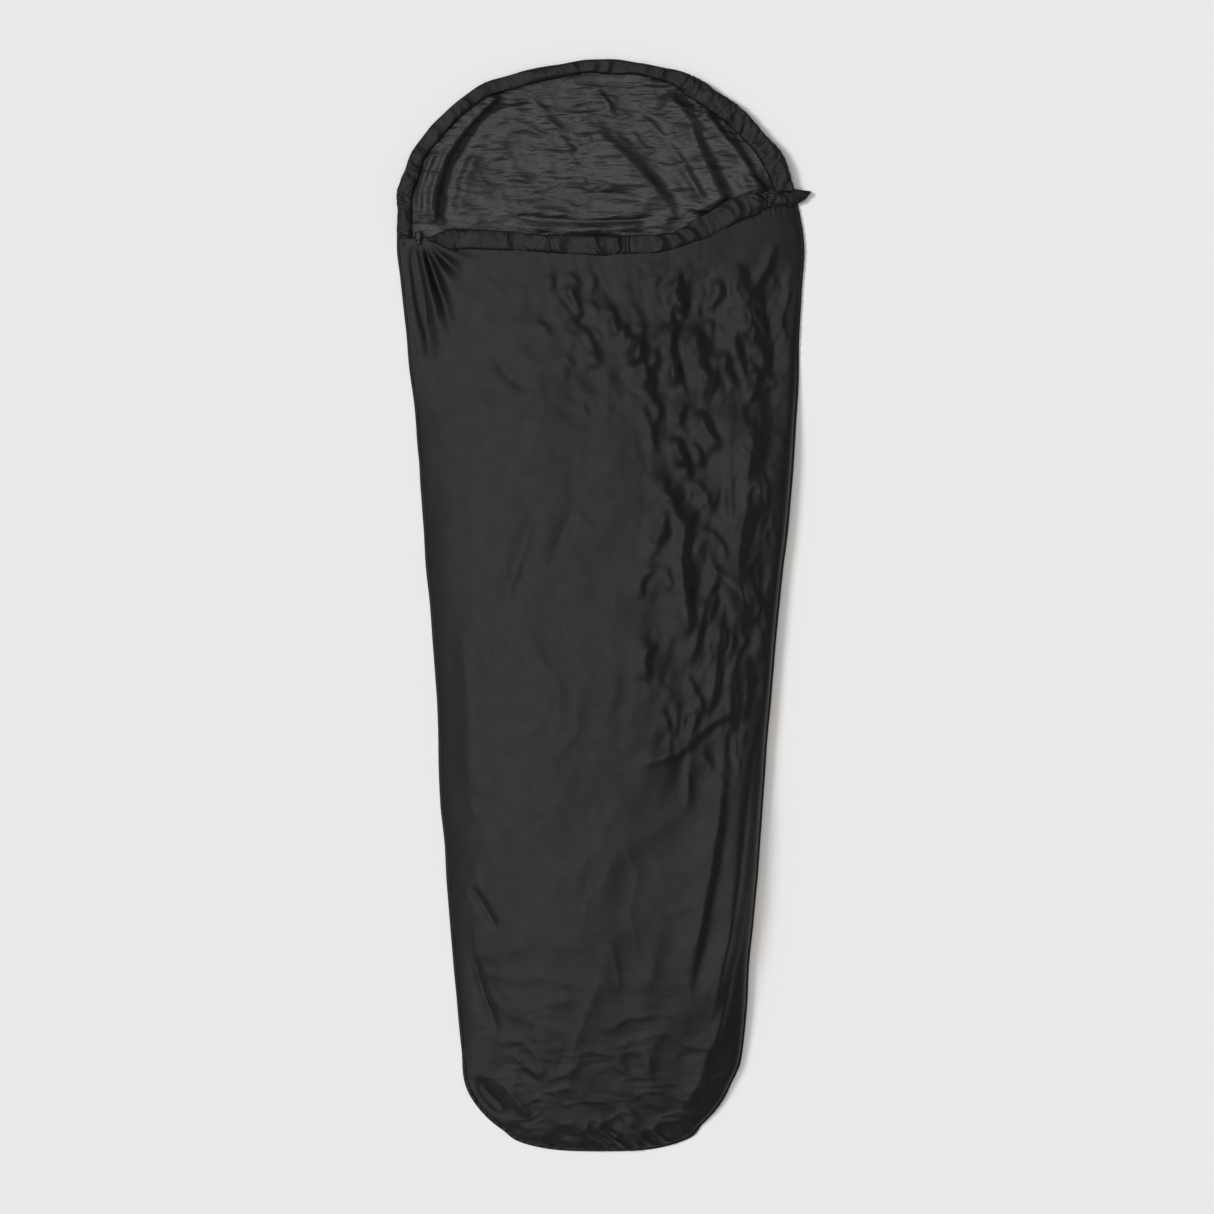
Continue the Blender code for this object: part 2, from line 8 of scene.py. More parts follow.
import bmesh
import bpy
import numpy as np
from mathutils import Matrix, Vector


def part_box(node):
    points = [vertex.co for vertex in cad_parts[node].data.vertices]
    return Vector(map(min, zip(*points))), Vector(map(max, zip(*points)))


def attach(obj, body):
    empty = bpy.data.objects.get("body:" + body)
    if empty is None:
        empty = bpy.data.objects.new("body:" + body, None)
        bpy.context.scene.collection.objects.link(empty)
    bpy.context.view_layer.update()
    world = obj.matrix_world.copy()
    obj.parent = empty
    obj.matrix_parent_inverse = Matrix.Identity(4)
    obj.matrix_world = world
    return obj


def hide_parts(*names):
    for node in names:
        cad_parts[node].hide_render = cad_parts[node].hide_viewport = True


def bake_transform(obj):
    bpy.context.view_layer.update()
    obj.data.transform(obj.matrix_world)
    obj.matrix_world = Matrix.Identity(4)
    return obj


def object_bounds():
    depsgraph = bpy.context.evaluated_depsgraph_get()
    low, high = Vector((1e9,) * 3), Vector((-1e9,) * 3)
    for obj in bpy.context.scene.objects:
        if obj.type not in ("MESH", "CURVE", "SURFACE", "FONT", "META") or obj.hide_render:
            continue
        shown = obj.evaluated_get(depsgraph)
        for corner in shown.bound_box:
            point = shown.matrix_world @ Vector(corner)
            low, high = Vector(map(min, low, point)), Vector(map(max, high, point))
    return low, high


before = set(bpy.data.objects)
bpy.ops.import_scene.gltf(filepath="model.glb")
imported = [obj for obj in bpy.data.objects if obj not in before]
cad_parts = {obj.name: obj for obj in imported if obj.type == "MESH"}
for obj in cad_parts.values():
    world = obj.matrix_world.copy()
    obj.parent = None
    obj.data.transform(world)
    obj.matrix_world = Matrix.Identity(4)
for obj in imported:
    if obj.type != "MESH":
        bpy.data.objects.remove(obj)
CAD_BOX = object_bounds()

# ---- places taken from the frame
LENGTH = CAD_BOX[1][1] - CAD_BOX[0][1]
HEM_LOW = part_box("chest_hem")[0]
TOP_OF_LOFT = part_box("top_panel")[1].z

# ---- sizes of the sack, as in the CAD
MID_HALF_WIDTH = 0.352
TAPER = 0.0797
HOOD_ROUND = 0.44
FOOT_ROUND = 0.24
HOOD_SHIFT = -0.0120
PANEL_Z = 0.0023
MOUTH_LOFT = 0.026
MOUTH_EASE = 0.55
FOOT_EASE = 0.60
ARCH_POWER = 2.4
SIDE_WALL = 0.012
HIGHEST_FOLD = 0.070
HEM_Y = 0.739
HEM_DIP = 0.012
HEM_SKEW = 0.083
NECK_LEFT = np.array((-0.392, 0.755))
NECK_RIGHT = np.array((0.402, 0.847))
TAIL_ROUTE = [
    (-0.3532, 0.7440, 0.0107),
    (-0.3620, 0.7440, 0.0107),
    (-0.3710, 0.7440, 0.0107),
    (-0.3800, 0.7440, 0.0107),
    (-0.3880, 0.7440, 0.0107),
    (-0.3935, 0.7438, 0.0104),
    (-0.3985, 0.7430, 0.0088),
    (-0.4025, 0.7415, 0.0066),
    (-0.4048, 0.7385, 0.0054),
    (-0.4052, 0.7345, 0.0051),
]
CORD_RADIUS = 0.0015
STITCH_COLUMN = 14
STITCH_PITCH = 0.0036
STITCH_MARGIN = 0.022
STITCH_LENGTH = 0.0024
THREAD_RADIUS = 0.00024
FABRIC_THICKNESS = 0.0006
KNOT_SIZE = 0.00068
KNOT_CORD_RADIUS = 0.00115
CHEST_BAND_END = 0.392
FOOT_SEAM_REACH = 0.64
SEAM_SECTION = np.array([(0.0, 0.0020), (-0.0003, 0.0031), (-0.0012, 0.0037), (-0.0028, 0.0039),
                         (-0.0046, 0.0044), (-0.0066, 0.0052), (-0.0066, 0.0020), (-0.0050, 0.0006),
                         (-0.0020, 0.0004), (-0.0004, 0.0008)])

# ---- view
CAMERA_HEIGHT = 6.0
FRAME_WIDTH = 2.450
CAMERA_X = 0.006
CAMERA_Y = -0.002
FLOOR_HALF_SIZE = 60.0
FLOOR_Z = -0.0006
FLOOR_GREY = 0.785
VIEW_DEPTH = 200.0

# ---- light
SKY_STRENGTH = 1.40
SKY_MIDDLE = (-0.31, 0.05, 0.95)
# grey of the sky by the cosine of the angle from SKY_MIDDLE
SKY_BY_CLOSENESS = ((0.0, 0.20), (0.25, 0.16), (0.5, 0.10), (0.75, 0.34), (0.9, 0.90), (1.0, 1.22))
KEY_ENERGY = 2.27
KEY_DIRECTION = (1.0, -0.30, -0.80)
KEY_COLOUR = (0.965, 1.0, 1.035)
KEY_ANGLE = math.radians(16.0)


# ---- small maths on arrays
def smooth_step(t):
    t = np.clip(t, 0.0, 1.0)
    return t * t * (3.0 - 2.0 * t)


def bump_between(t, start, end, ease):
    """1 from start to end, easing to 0 over ease on both sides."""
    return smooth_step((t - start + ease) / ease) * smooth_step((end + ease - t) / ease)


def round_end(distance, length, power, root):
    t = np.clip(distance / length, 0.0, 1.0)
    return np.maximum(0.0, 1.0 - t ** power) ** (1.0 / root)


def centre_x(y):
    return HOOD_SHIFT * smooth_step((y - 0.30) / 0.45)


def half_width(y, inset=0.0):
    tip = LENGTH / 2 - inset
    line = MID_HALF_WIDTH + TAPER * y - inset
    hood = round_end(y - tip + HOOD_ROUND, HOOD_ROUND, 2.4, 2.2)
    foot = round_end(-y - tip + FOOT_ROUND, FOOT_ROUND, 2.6, 2.6)
    return line * hood * foot


def rim(angle, inset=0.0):
    """Outline points at angles from the foot's tip, + towards +X, pi at the crown. Shape (n, 2)."""
    angle = np.asarray(angle, float)
    y = -(LENGTH / 2 - inset) * np.cos(angle)
    side = np.sign(np.sin(angle))
    return np.stack([centre_x(y) + side * half_width(y, inset), y], axis=-1)


NECK = (NECK_RIGHT - NECK_LEFT) / np.linalg.norm(NECK_RIGHT - NECK_LEFT)
NECK_UP = np.array((-NECK[1], NECK[0]))


def beyond_neck(x, y):
    return (x - NECK_LEFT[0]) * NECK_UP[0] + (y - NECK_LEFT[1]) * NECK_UP[1]


def value_noise(x, y, cell_x, cell_y, seed):
    """Smooth noise from -1 to 1 with features cell_x by cell_y."""
    size = 257
    table = np.random.RandomState(seed).uniform(-1.0, 1.0, (size, size))
    gx, gy = x / cell_x + 97.0, y / cell_y + 61.0
    ix, iy = np.floor(gx).astype(int), np.floor(gy).astype(int)
    fx, fy = gx - ix, gy - iy
    fx, fy = fx * fx * (3 - 2 * fx), fy * fy * (3 - 2 * fy)
    a = table[ix % size, iy % size]
    b = table[(ix + 1) % size, iy % size]
    c = table[ix % size, (iy + 1) % size]
    d = table[(ix + 1) % size, (iy + 1) % size]
    return (a * (1 - fx) + b * fx) * (1 - fy) + (c * (1 - fx) + d * fx) * fy


def crinkle(x, y, cell_x, cell_y, seed):
    """Sharp-crested noise from 0 to 1, like the small ridges of crumpled fabric."""
    warp = 0.6 * value_noise(x, y, 2 * cell_x, 2 * cell_y, seed + 1)
    n = value_noise(x + warp * cell_x, y + warp * cell_y, cell_x, cell_y, seed)
    return (1.0 - np.abs(n)) ** 2.5


def smooth_route(points, per_span=8):
    """Catmull-Rom curve through points of any dimension."""
    p = np.array(points, float)
    p = np.vstack([2 * p[0] - p[1], p, 2 * p[-1] - p[-2]])
    out = []
    for a, b, c, d in zip(p, p[1:], p[2:], p[3:]):
        for t in np.arange(per_span) / per_span:
            out.append(0.5 * (2 * b + (c - a) * t + (2 * a - 5 * b + 4 * c - d) * t ** 2
                              + (3 * b - 3 * c + d - a) * t ** 3))
    out.append(p[-2])
    return np.array(out)


def fold(x, y, route, height, left, right, ease=0.12, spread=0.0, fade=0.0):
    """Height of a ridge along route. left and right are its flank widths, seen along the route.

    spread is how much wider the ridge gets towards its far end, and fade the part of its
    length over which it dies out there.
    """
    path = smooth_route(route, 6)
    lengths = np.linalg.norm(np.diff(path, axis=0), axis=1)
    total = lengths.sum()
    best = np.full(x.shape, 1e9)
    signed = np.zeros(x.shape)
    along = np.zeros(x.shape)
    start = 0.0
    for a, b, length in zip(path, path[1:], lengths):
        tx, ty = (b - a) / max(length, 1e-9)
        t = np.clip((x - a[0]) * tx + (y - a[1]) * ty, 0.0, length)
        dx, dy = x - a[0] - t * tx, y - a[1] - t * ty
        d = np.hypot(dx, dy)
        near = d < best
        best = np.where(near, d, best)
        signed = np.where(near, np.sign(tx * dy - ty * dx) * d, signed)
        along = np.where(near, (start + t) / total, along)
        start += length
    width = np.where(signed > 0, left, right) * (1.0 + spread * along)
    shape = np.exp(-np.abs(signed / width) ** 1.6)
    ends = smooth_step(along / ease) * smooth_step((1.0 - along) / max(ease, fade))
    return height * shape * ends


def scattered_folds(x, y, count, seed, middle, reach, heading, turn, length, height, left, right):
    """Many short ridges at random places within reach of middle.

    heading is the direction that their routes run in, from -Y towards +X; turn, how far it varies.
    """
    random = np.random.RandomState(seed)
    z = np.zeros(x.shape)
    for _ in range(count):
        place = np.array(middle) + np.array(reach) * random.uniform(-1.0, 1.0, 2)
        angle = heading + turn * random.uniform(-1.0, 1.0)
        along = np.array((math.sin(angle), -math.cos(angle)))
        aside = np.array((math.cos(angle), math.sin(angle)))
        size = length * random.uniform(0.5, 1.0)
        bend = size * random.uniform(-0.22, 0.22)
        scale = random.uniform(0.55, 1.0)
        near = np.hypot(x - place[0], y - place[1]) < size + 3.0 * max(left, right)
        route = [place - 0.5 * size * along, place + bend * aside, place + 0.5 * size * along]
        z[near] += fold(x[near], y[near], route, height * scale, left * scale, right * scale, 0.3)
    return z


def add_folds(z, x, y, folds):
    """Adds to z a ridge for each row of folds, or a dent where its height is negative.

    A row is what fold takes: a route, height, left and right, then ease, spread and fade where
    they differ from its defaults.
    """
    for row in folds:
        z += fold(x, y, *row)


def drape(x, y, cell_x, cell_y, seed, lean=0.0):
    """Irregular folds about cell_x apart and cell_y long, from -0.5 to 0.5. lean tilts them."""
    x = x + lean * y
    bend = value_noise(x, y, 2.6 * cell_x, 0.7 * cell_y, seed + 1)
    shear = value_noise(x, y, 2.0 * cell_x, 1.3 * cell_y, seed + 2)
    n = value_noise(x + 0.9 * cell_x * bend, y + 0.6 * cell_y * shear, cell_x, cell_y, seed)
    m = value_noise(x + 0.5 * cell_x * shear, y, 0.48 * cell_x, 0.55 * cell_y, seed + 3)
    crest = np.maximum(0.0, 1.0 - np.sqrt(n * n + 0.003))
    return crest ** 1.6 - 0.5 + 0.22 * m


def side_shift(y, side):
    """How far the cloth's edge lies outside the smooth outline, for each side."""
    left = (0.008 * bump_between(y, 0.84, 0.90, 0.06) + 0.009 * bump_between(y, -0.85, -0.42, 0.25)
            + 0.014 * bump_between(y, -1.075, -0.99, 0.10) + 0.016 * bump_between(y, -1.10, -1.085, 0.03)
            - 0.003 * bump_between(y, 0.30, 0.66, 0.06) + 0.0018 * value_noise(y, y * 0, 0.08, 1.0, 3))
    right = (-0.014 * bump_between(y, 0.96, 1.03, 0.05) + 0.007 * bump_between(y, 0.13, 0.70, 0.15)
             - 0.006 * bump_between(y, -1.03, -0.97, 0.05) + 0.014 * bump_between(y, -1.10, -1.075, 0.03)
             + 0.0018 * value_noise(y, y * 0, 0.09, 1.0, 4))
    return np.where(side < 0, left, right)


def lay_out(points):
    """Moves flat places of the cloth so that its edge lies as unevenly as real cloth."""
    points = np.array(points, float)
    x, y = points[..., 0], points[..., 1]
    off = x - centre_x(y)
    reach = np.minimum(1.0, np.abs(off) / np.maximum(0.01, half_width(y)))
    shift = side_shift(y, off) * reach ** 2
    crown = bump_between(x, -0.17, -0.10, 0.07) * smooth_step((y - 0.90) / 0.15)
    points[..., 0] = x + np.sign(off) * shift
    points[..., 1] = y - 0.006 * crown
    return points


def path_length(points):
    """Length of a path from its start to each of its points."""
    return np.concatenate([[0.0], np.cumsum(np.linalg.norm(np.diff(points, axis=0), axis=1))])


def unit_rows(vectors):
    return vectors / np.linalg.norm(vectors, axis=1)[:, None]


# ---- mesh helpers
def link(obj):
    bpy.context.collection.objects.link(obj)
    return obj


def grid_faces(rows, columns, closed=False):
    i = np.arange(rows - 1)[:, None] * columns
    j = np.arange(columns if closed else columns - 1)[None, :]
    n = (j + 1) % columns
    return np.stack([i + j, i + n, i + columns + n, i + columns + j], axis=-1).reshape(-1, 4)


def new_mesh_object(name, vertices, faces, uv=None, smooth=True):
    mesh = bpy.data.meshes.new(name)
    mesh.from_pydata(np.asarray(vertices).reshape(-1, 3).tolist(), [],
                     [list(map(int, f)) for f in faces])
    if uv is not None:
        layer = mesh.uv_layers.new(name="cloth")
        loops = np.empty(len(mesh.loops), dtype=np.int32)
        mesh.loops.foreach_get("vertex_index", loops)
        layer.data.foreach_set("uv", np.asarray(uv, np.float32).reshape(-1, 2)[loops].ravel())
    mesh.validate()
    if smooth:
        mesh.shade_smooth()
    return link(bpy.data.objects.new(name, mesh))


def tube(name, path, radius, sides):
    """A closed round tube along a path, with domed ends."""
    p = np.asarray(path, float)
    tangent = unit_rows(np.gradient(p, axis=0))
    normal = np.cross(tangent[0], (0.0, 0.0, 1.0))
    if np.linalg.norm(normal) < 1e-3:
        normal = np.cross(tangent[0], (0.0, 1.0, 0.0))
    normal /= np.linalg.norm(normal)
    rings = []
    for k, t in enumerate(tangent):
        normal = normal - t * normal.dot(t)
        normal /= np.linalg.norm(normal)
        other = np.cross(t, normal)
        a = 2 * np.pi * np.arange(sides) / sides
        rings.append(p[k] + radius * (np.cos(a)[:, None] * normal + np.sin(a)[:, None] * other))
    count = len(rings)
    vertices = np.vstack(rings + [p[0] - tangent[0] * radius * 0.5, p[-1] + tangent[-1] * radius * 0.5])
    faces = grid_faces(count, sides, closed=True).tolist()
    first, last = count * sides, count * sides + 1
    for i in range(sides):
        n = (i + 1) % sides
        faces.append([first, n, i])
        faces.append([last, (count - 1) * sides + i, (count - 1) * sides + n])
    length = path_length(p)
    uv = np.stack(np.meshgrid(length, np.arange(sides) * 2 * np.pi * radius / sides,
                              indexing="ij"), axis=-1).reshape(-1, 2)
    uv = np.vstack([uv, [0, 0], [length[-1], 0]])
    obj = new_mesh_object(name, vertices, faces, uv)
    face_outwards(obj)
    return obj


def subdivide(obj):
    smooth = obj.modifiers.new("smooth", "SUBSURF")
    smooth.levels = smooth.render_levels = 1


def face_outwards(obj):
    bm = bmesh.new()
    bm.from_mesh(obj.data)
    bm.normal_update()
    bmesh.ops.recalc_face_normals(bm, faces=bm.faces)
    if bm.calc_volume(signed=True) < 0:
        bmesh.ops.reverse_faces(bm, faces=bm.faces)
    bm.to_mesh(obj.data)
    bm.free()


# ---- materials
def material(name):
    mat = bpy.data.materials.new(name)
    mat.use_nodes = True
    tree = mat.node_tree
    return mat, tree, tree.nodes["Principled BSDF"]


def add_node(tree, kind, **values):
    node = tree.nodes.new(kind)
    for key, value in values.items():
        if hasattr(node, key):
            setattr(node, key, value)
        else:
            node.inputs[key.replace("_", " ")].default_value = value
    return node


def texture(tree, place, kind, **values):
    """A texture node of a kind, laid out by the coordinates in place."""
    node = add_node(tree, "ShaderNodeTex" + kind, **values)
    tree.links.new(place, node.inputs["Vector"])
    return node


def ramp(tree, source, stops):
    node = tree.nodes.new("ShaderNodeValToRGB")
    elements = node.color_ramp.elements
    while len(elements) < len(stops):
        elements.new(0.5)
    for element, (position, colour) in zip(elements, stops):
        element.position = position
        element.color = (*colour, 1.0)
    tree.links.new(source, node.inputs["Fac"])
    return node.outputs["Color"]


def add_bump(tree, height, strength, distance, previous=None):
    node = tree.nodes.new("ShaderNodeBump")
    node.inputs["Strength"].default_value = strength
    node.inputs["Distance"].default_value = distance
    tree.links.new(height, node.inputs["Height"])
    if previous is not None:
        tree.links.new(previous, node.inputs["Normal"])
    return node.outputs["Normal"]


def vary_roughness(tree, shader, source, low, high, start=0.0, end=1.0):
    """Takes the roughness from low to high where source goes from start to end."""
    rough = add_node(tree, "ShaderNodeMapRange")
    for socket, value in (("From Min", start), ("From Max", end), ("To Min", low), ("To Max", high)):
        rough.inputs[socket].default_value = value
    tree.links.new(source, rough.inputs["Value"])
    tree.links.new(rough.outputs["Result"], shader.inputs["Roughness"])


def woven_fabric(name, dark, light, roughness, specular, wrinkle, stretch):
    """Tightly woven fabric. dark and light are its colour's limits.

    wrinkle is how deep its fine wrinkles are; stretch, how many times closer they lie along
    the sack than across it.
    """
    mat, tree, shader = material(name)
    links = tree.links
    uv = add_node(tree, "ShaderNodeUVMap", uv_map="cloth").outputs["UV"]
    cloud = texture(tree, uv, "Noise", Scale=7.0, Detail=6.0, Roughness=0.6)
    colour = ramp(tree, cloud.outputs["Fac"], [(0.30, dark), (0.70, light)])
    links.new(colour, shader.inputs["Base Color"])

    rub = texture(tree, uv, "Noise", Scale=30.0, Detail=6.0, Roughness=0.65)
    vary_roughness(tree, shader, rub.outputs["Fac"], roughness - 0.05, roughness + 0.07, 0.3, 0.7)

    along = add_node(tree, "ShaderNodeMapping")
    along.inputs["Scale"].default_value = (1.0, stretch, 1.0)
    links.new(uv, along.inputs["Vector"])
    normal = None
    for scale, strength, distance in ((11.0, 0.5, 0.010), (34.0, 0.35, 0.0035)):
        ripple = texture(tree, along.outputs["Vector"], "Noise", Scale=scale, Detail=4.0,
                         Roughness=0.5, Distortion=0.8)
        normal = add_bump(tree, ripple.outputs["Fac"], strength * wrinkle, distance, normal)

    warp_yarn = texture(tree, uv, "Wave", bands_direction="X", Scale=330.0)
    weft_yarn = texture(tree, uv, "Wave", bands_direction="Y", Scale=330.0)
    weave = add_node(tree, "ShaderNodeMath", operation="MULTIPLY")
    links.new(warp_yarn.outputs["Fac"], weave.inputs[0])
    links.new(weft_yarn.outputs["Fac"], weave.inputs[1])
    normal = add_bump(tree, weave.outputs["Value"], 0.10, 0.0002, normal)
    links.new(normal, shader.inputs["Normal"])
    shader.inputs["Specular IOR Level"].default_value = specular
    return mat


def braided_cord(name, dark, light):
    mat, tree, shader = material(name)
    links = tree.links
    place = add_node(tree, "ShaderNodeTexCoord").outputs["Object"]
    strand = texture(tree, place, "Wave", bands_direction="DIAGONAL", Scale=420.0, Distortion=1.0)
    colour = ramp(tree, strand.outputs["Fac"], [(0.2, dark), (0.8, light)])
    links.new(colour, shader.inputs["Base Color"])
    normal = add_bump(tree, strand.outputs["Fac"], 0.6, 0.0003)
    links.new(normal, shader.inputs["Normal"])
    shader.inputs["Roughness"].default_value = 0.62
    return mat


def moulded_plastic(name, colour, roughness):
    mat, tree, shader = material(name)
    links = tree.links
    place = add_node(tree, "ShaderNodeTexCoord").outputs["Object"]
    grain = texture(tree, place, "Noise", Scale=900.0, Detail=3.0)
    lighter = tuple(c * 1.5 for c in colour)
    links.new(ramp(tree, grain.outputs["Fac"], [(0.3, colour), (0.75, lighter)]),
              shader.inputs["Base Color"])
    vary_roughness(tree, shader, grain.outputs["Fac"], roughness - 0.05, roughness + 0.08)
    links.new(add_bump(tree, grain.outputs["Fac"], 0.15, 0.0002), shader.inputs["Normal"])
    return mat


def spring_wire(name):
    mat, tree, shader = material(name)
    place = add_node(tree, "ShaderNodeTexCoord").outputs["Object"]
    draw = texture(tree, place, "Noise", Scale=2500.0, Detail=2.0)
    tree.links.new(ramp(tree, draw.outputs["Fac"], [(0.3, (0.42,) * 3), (0.7, (0.62,) * 3)]),
                   shader.inputs["Base Color"])
    shader.inputs["Metallic"].default_value = 1.0
    shader.inputs["Roughness"].default_value = 0.32
    return mat


def welded_tape(name):
    mat, tree, shader = material(name)
    place = add_node(tree, "ShaderNodeTexCoord").outputs["Object"]
    weld = texture(tree, place, "Voronoi", Scale=700.0)
    tree.links.new(ramp(tree, weld.outputs["Distance"], [(0.1, (0.060,) * 3), (0.8, (0.085,) * 3)]),
                   shader.inputs["Base Color"])
    tree.links.new(add_bump(tree, weld.outputs["Distance"], 0.3, 0.0002), shader.inputs["Normal"])
    shader.inputs["Roughness"].default_value = 0.42
    return mat


SHELL = woven_fabric("outer_fabric_look", (0.0050, 0.0041, 0.0056), (0.0072, 0.0060, 0.0080),
                     0.41, 0.342, 0.26, 0.6)
COATED = woven_fabric("coated_inside_look", (0.0098, 0.0101, 0.0114), (0.0154, 0.0159, 0.0178),
                      0.37, 0.60, 1.10, 4.0)
HEM = woven_fabric("hem_fabric_look", (0.0048, 0.0042, 0.0048), (0.0072, 0.0064, 0.0072),
                   0.42, 0.33, 0.50, 1.0)
CORD = braided_cord("braided_cord_look", (0.010, 0.010, 0.011), (0.034, 0.034, 0.036))
THREAD = braided_cord("thread_look", (0.008, 0.008, 0.009), (0.022, 0.022, 0.024))
PLASTIC = moulded_plastic("lock_plastic_look", (0.010, 0.010, 0.011), 0.24)
BUTTON = moulded_plastic("button_plastic_look", (0.013, 0.013, 0.014), 0.28)
STEEL = spring_wire("spring_steel_look")
TAPE = welded_tape("seam_tape_look")


def set_material(obj, *mats):
    obj.data.materials.clear()
    for mat in mats:
        obj.data.materials.append(mat)


# ---- camera, light and floor
def make_camera():
    data = bpy.data.cameras.new("camera")
    data.sensor_width = 36.0
    data.lens = data.sensor_width * CAMERA_HEIGHT / FRAME_WIDTH
    data.clip_end = VIEW_DEPTH
    camera = link(bpy.data.objects.new("camera", data))
    camera.location = (CAMERA_X, CAMERA_Y, CAMERA_HEIGHT)
    bpy.context.scene.camera = camera


def make_floor():
    corners = [(sx * FLOOR_HALF_SIZE, sy * FLOOR_HALF_SIZE, FLOOR_Z)
               for sx, sy in ((-1, -1), (1, -1), (1, 1), (-1, 1))]
    floor = new_mesh_object("studio_floor", corners, [(0, 1, 2, 3)], smooth=False)
    mat, _, shader = material("studio_paper")
    shader.inputs["Base Color"].default_value = (FLOOR_GREY, FLOOR_GREY, FLOOR_GREY, 1.0)
    shader.inputs["Roughness"].default_value = 0.9
    shader.inputs["Specular IOR Level"].default_value = 0.0
    set_material(floor, mat)


def make_light():
    world = bpy.data.worlds.new("studio")
    world.use_nodes = True
    tree = world.node_tree
    sky = tree.nodes["Background"]
    place = tree.nodes.new("ShaderNodeTexCoord")
    facing = tree.nodes.new("ShaderNodeVectorMath")
    facing.operation = "DOT_PRODUCT"
    facing.inputs[1].default_value = Vector(SKY_MIDDLE).normalized()
    tree.links.new(place.outputs["Generated"], facing.inputs[0])
    stops = [(near, (grey, 0.965 * grey, 0.935 * grey)) for near, grey in SKY_BY_CLOSENESS]
    tree.links.new(ramp(tree, facing.outputs["Value"], stops), sky.inputs["Color"])
    sky.inputs["Strength"].default_value = SKY_STRENGTH
    bpy.context.scene.world = world

    sun = bpy.data.lights.new("key", "SUN")
    sun.energy = KEY_ENERGY
    sun.angle = KEY_ANGLE
    sun.color = KEY_COLOUR
    key = link(bpy.data.objects.new("key", sun))
    direction = Vector(KEY_DIRECTION)
    key.rotation_euler = direction.to_track_quat("-Z", "Y").to_euler()
    key.visible_glossy = False
    bpy.context.scene.view_settings.view_transform = "Standard"
    bpy.context.scene.view_settings.look = "None"


# ---- drawcord tail and knot
def make_tail():
    route = smooth_route(TAIL_ROUTE, 3)
    curve = bpy.data.curves.new("cord_tail", "CURVE")
    curve.dimensions = "3D"
    curve.bevel_depth = CORD_RADIUS
    curve.bevel_resolution = 4
    curve.use_fill_caps = True
    spline = curve.splines.new("POLY")
    spline.points.add(len(route) - 1)
    for spot, point in zip(spline.points, route):
        spot.co = (*point, 1.0)
    tail = link(bpy.data.objects.new("cord_tail", curve))
    set_material(tail, CORD)

    low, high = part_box("cord_end_knot")
    middle = 0.5 * (np.array(low) + np.array(high))
    a = np.linspace(0, 2 * np.pi, 73)[:-1]
    knot = np.stack([(np.sin(a) + 2 * np.sin(2 * a)) * KNOT_SIZE,
                     (np.cos(a) - 2 * np.cos(2 * a)) * KNOT_SIZE,
                     -np.sin(3 * a) * KNOT_SIZE * 1.5], axis=-1) + middle
    knot = np.vstack([knot, knot[:1]])
    lump = tube("cord_knot", knot, KNOT_CORD_RADIUS, 10)
    set_material(lump, CORD)
    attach(lump, "sack")
    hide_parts("cord_end_knot")
    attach(tail, "sack")
    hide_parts("drawcord_tail")


# ---- cloth simulation
def relax_cloth(name, start, slack, faces, pinned, frames, cap, bending):
    """Lets a sheet that is cut larger than the space it spans find its folds.

    start: points now; slack: the same points where the cloth would be unstrained.
    pinned: 0 to 1 for each point. cap: how far a point may move. bending: how stiff it is.
    """
    obj = new_mesh_object(name, start, faces)
    obj.shape_key_add(name="Basis")
    key = obj.shape_key_add(name="slack")
    key.data.foreach_set("co", np.asarray(slack, np.float32).ravel())
    key.value = 0.0
    group = obj.vertex_groups.new(name="pin")
    for index in np.flatnonzero(pinned > 0.01):
        group.add([int(index)], float(pinned[index]), "REPLACE")
    cloth = obj.modifiers.new("cloth", "CLOTH")
    settings = cloth.settings
    settings.quality = 5
    settings.mass = 0.12
    settings.tension_stiffness = 30.0
    settings.compression_stiffness = 30.0
    settings.shear_stiffness = 12.0
    settings.bending_stiffness = bending
    settings.air_damping = 4.0
    settings.vertex_group_mass = "pin"
    settings.rest_shape_key = key
    settings.effector_weights.gravity = 0.0
    cloth.collision_settings.use_collision = False
    cloth.collision_settings.use_self_collision = False
    cloth.point_cache.frame_start = 1
    cloth.point_cache.frame_end = frames
    scene = bpy.context.scene
    for f in range(1, frames + 1):
        scene.frame_set(f)
    evaluated = obj.evaluated_get(bpy.context.evaluated_depsgraph_get())
    mesh = evaluated.to_mesh()
    result = np.empty(len(mesh.vertices) * 3)
    mesh.vertices.foreach_get("co", result)
    result = result.reshape(-1, 3)
    evaluated.to_mesh_clear()
    scene.frame_set(1)
    bpy.data.objects.remove(obj, do_unlink=True)
    move = result - start
    size = np.linalg.norm(move, axis=1)[:, None]
    return start + move * (cap * np.tanh(size / cap) / np.maximum(size, 1e-9))


# ---- body fabric
def loft_at(y):
    mouth = smooth_step((HEM_Y - y) / MOUTH_EASE)
    foot = round_end(-y - LENGTH / 2 + FOOT_EASE, FOOT_EASE, 1.6, 1.7)
    crest = TOP_OF_LOFT - PANEL_Z
    return (MOUTH_LOFT + 0.002 + (crest - MOUTH_LOFT - 0.002) * mouth) * foot


def arch_height(x, y, inset, top):
    across = np.minimum(1.0, np.abs(x - centre_x(y)) / np.maximum(1e-6, half_width(y, inset)))
    mouth = smooth_step((y - 0.30) / 0.40)
    arch = 1.0 - across ** ARCH_POWER
    lean = np.clip(x / 0.2, -1.0, 1.0)
    side = 0.56 - 0.22 * lean
    power = side + (1.0 - side) * mouth * (0.80 - 0.20 * lean)
    wall = np.minimum(top, SIDE_WALL) * arch ** 0.5
    return ((top * arch ** power) ** 4 + wall ** 4) ** 0.25


def hem_y(x):
    dip = HEM_DIP * (1.0 - smooth_step(np.abs(x) / 0.28))
    return HEM_Y - dip + HEM_SKEW * smooth_step((x - 0.10) / 0.26)


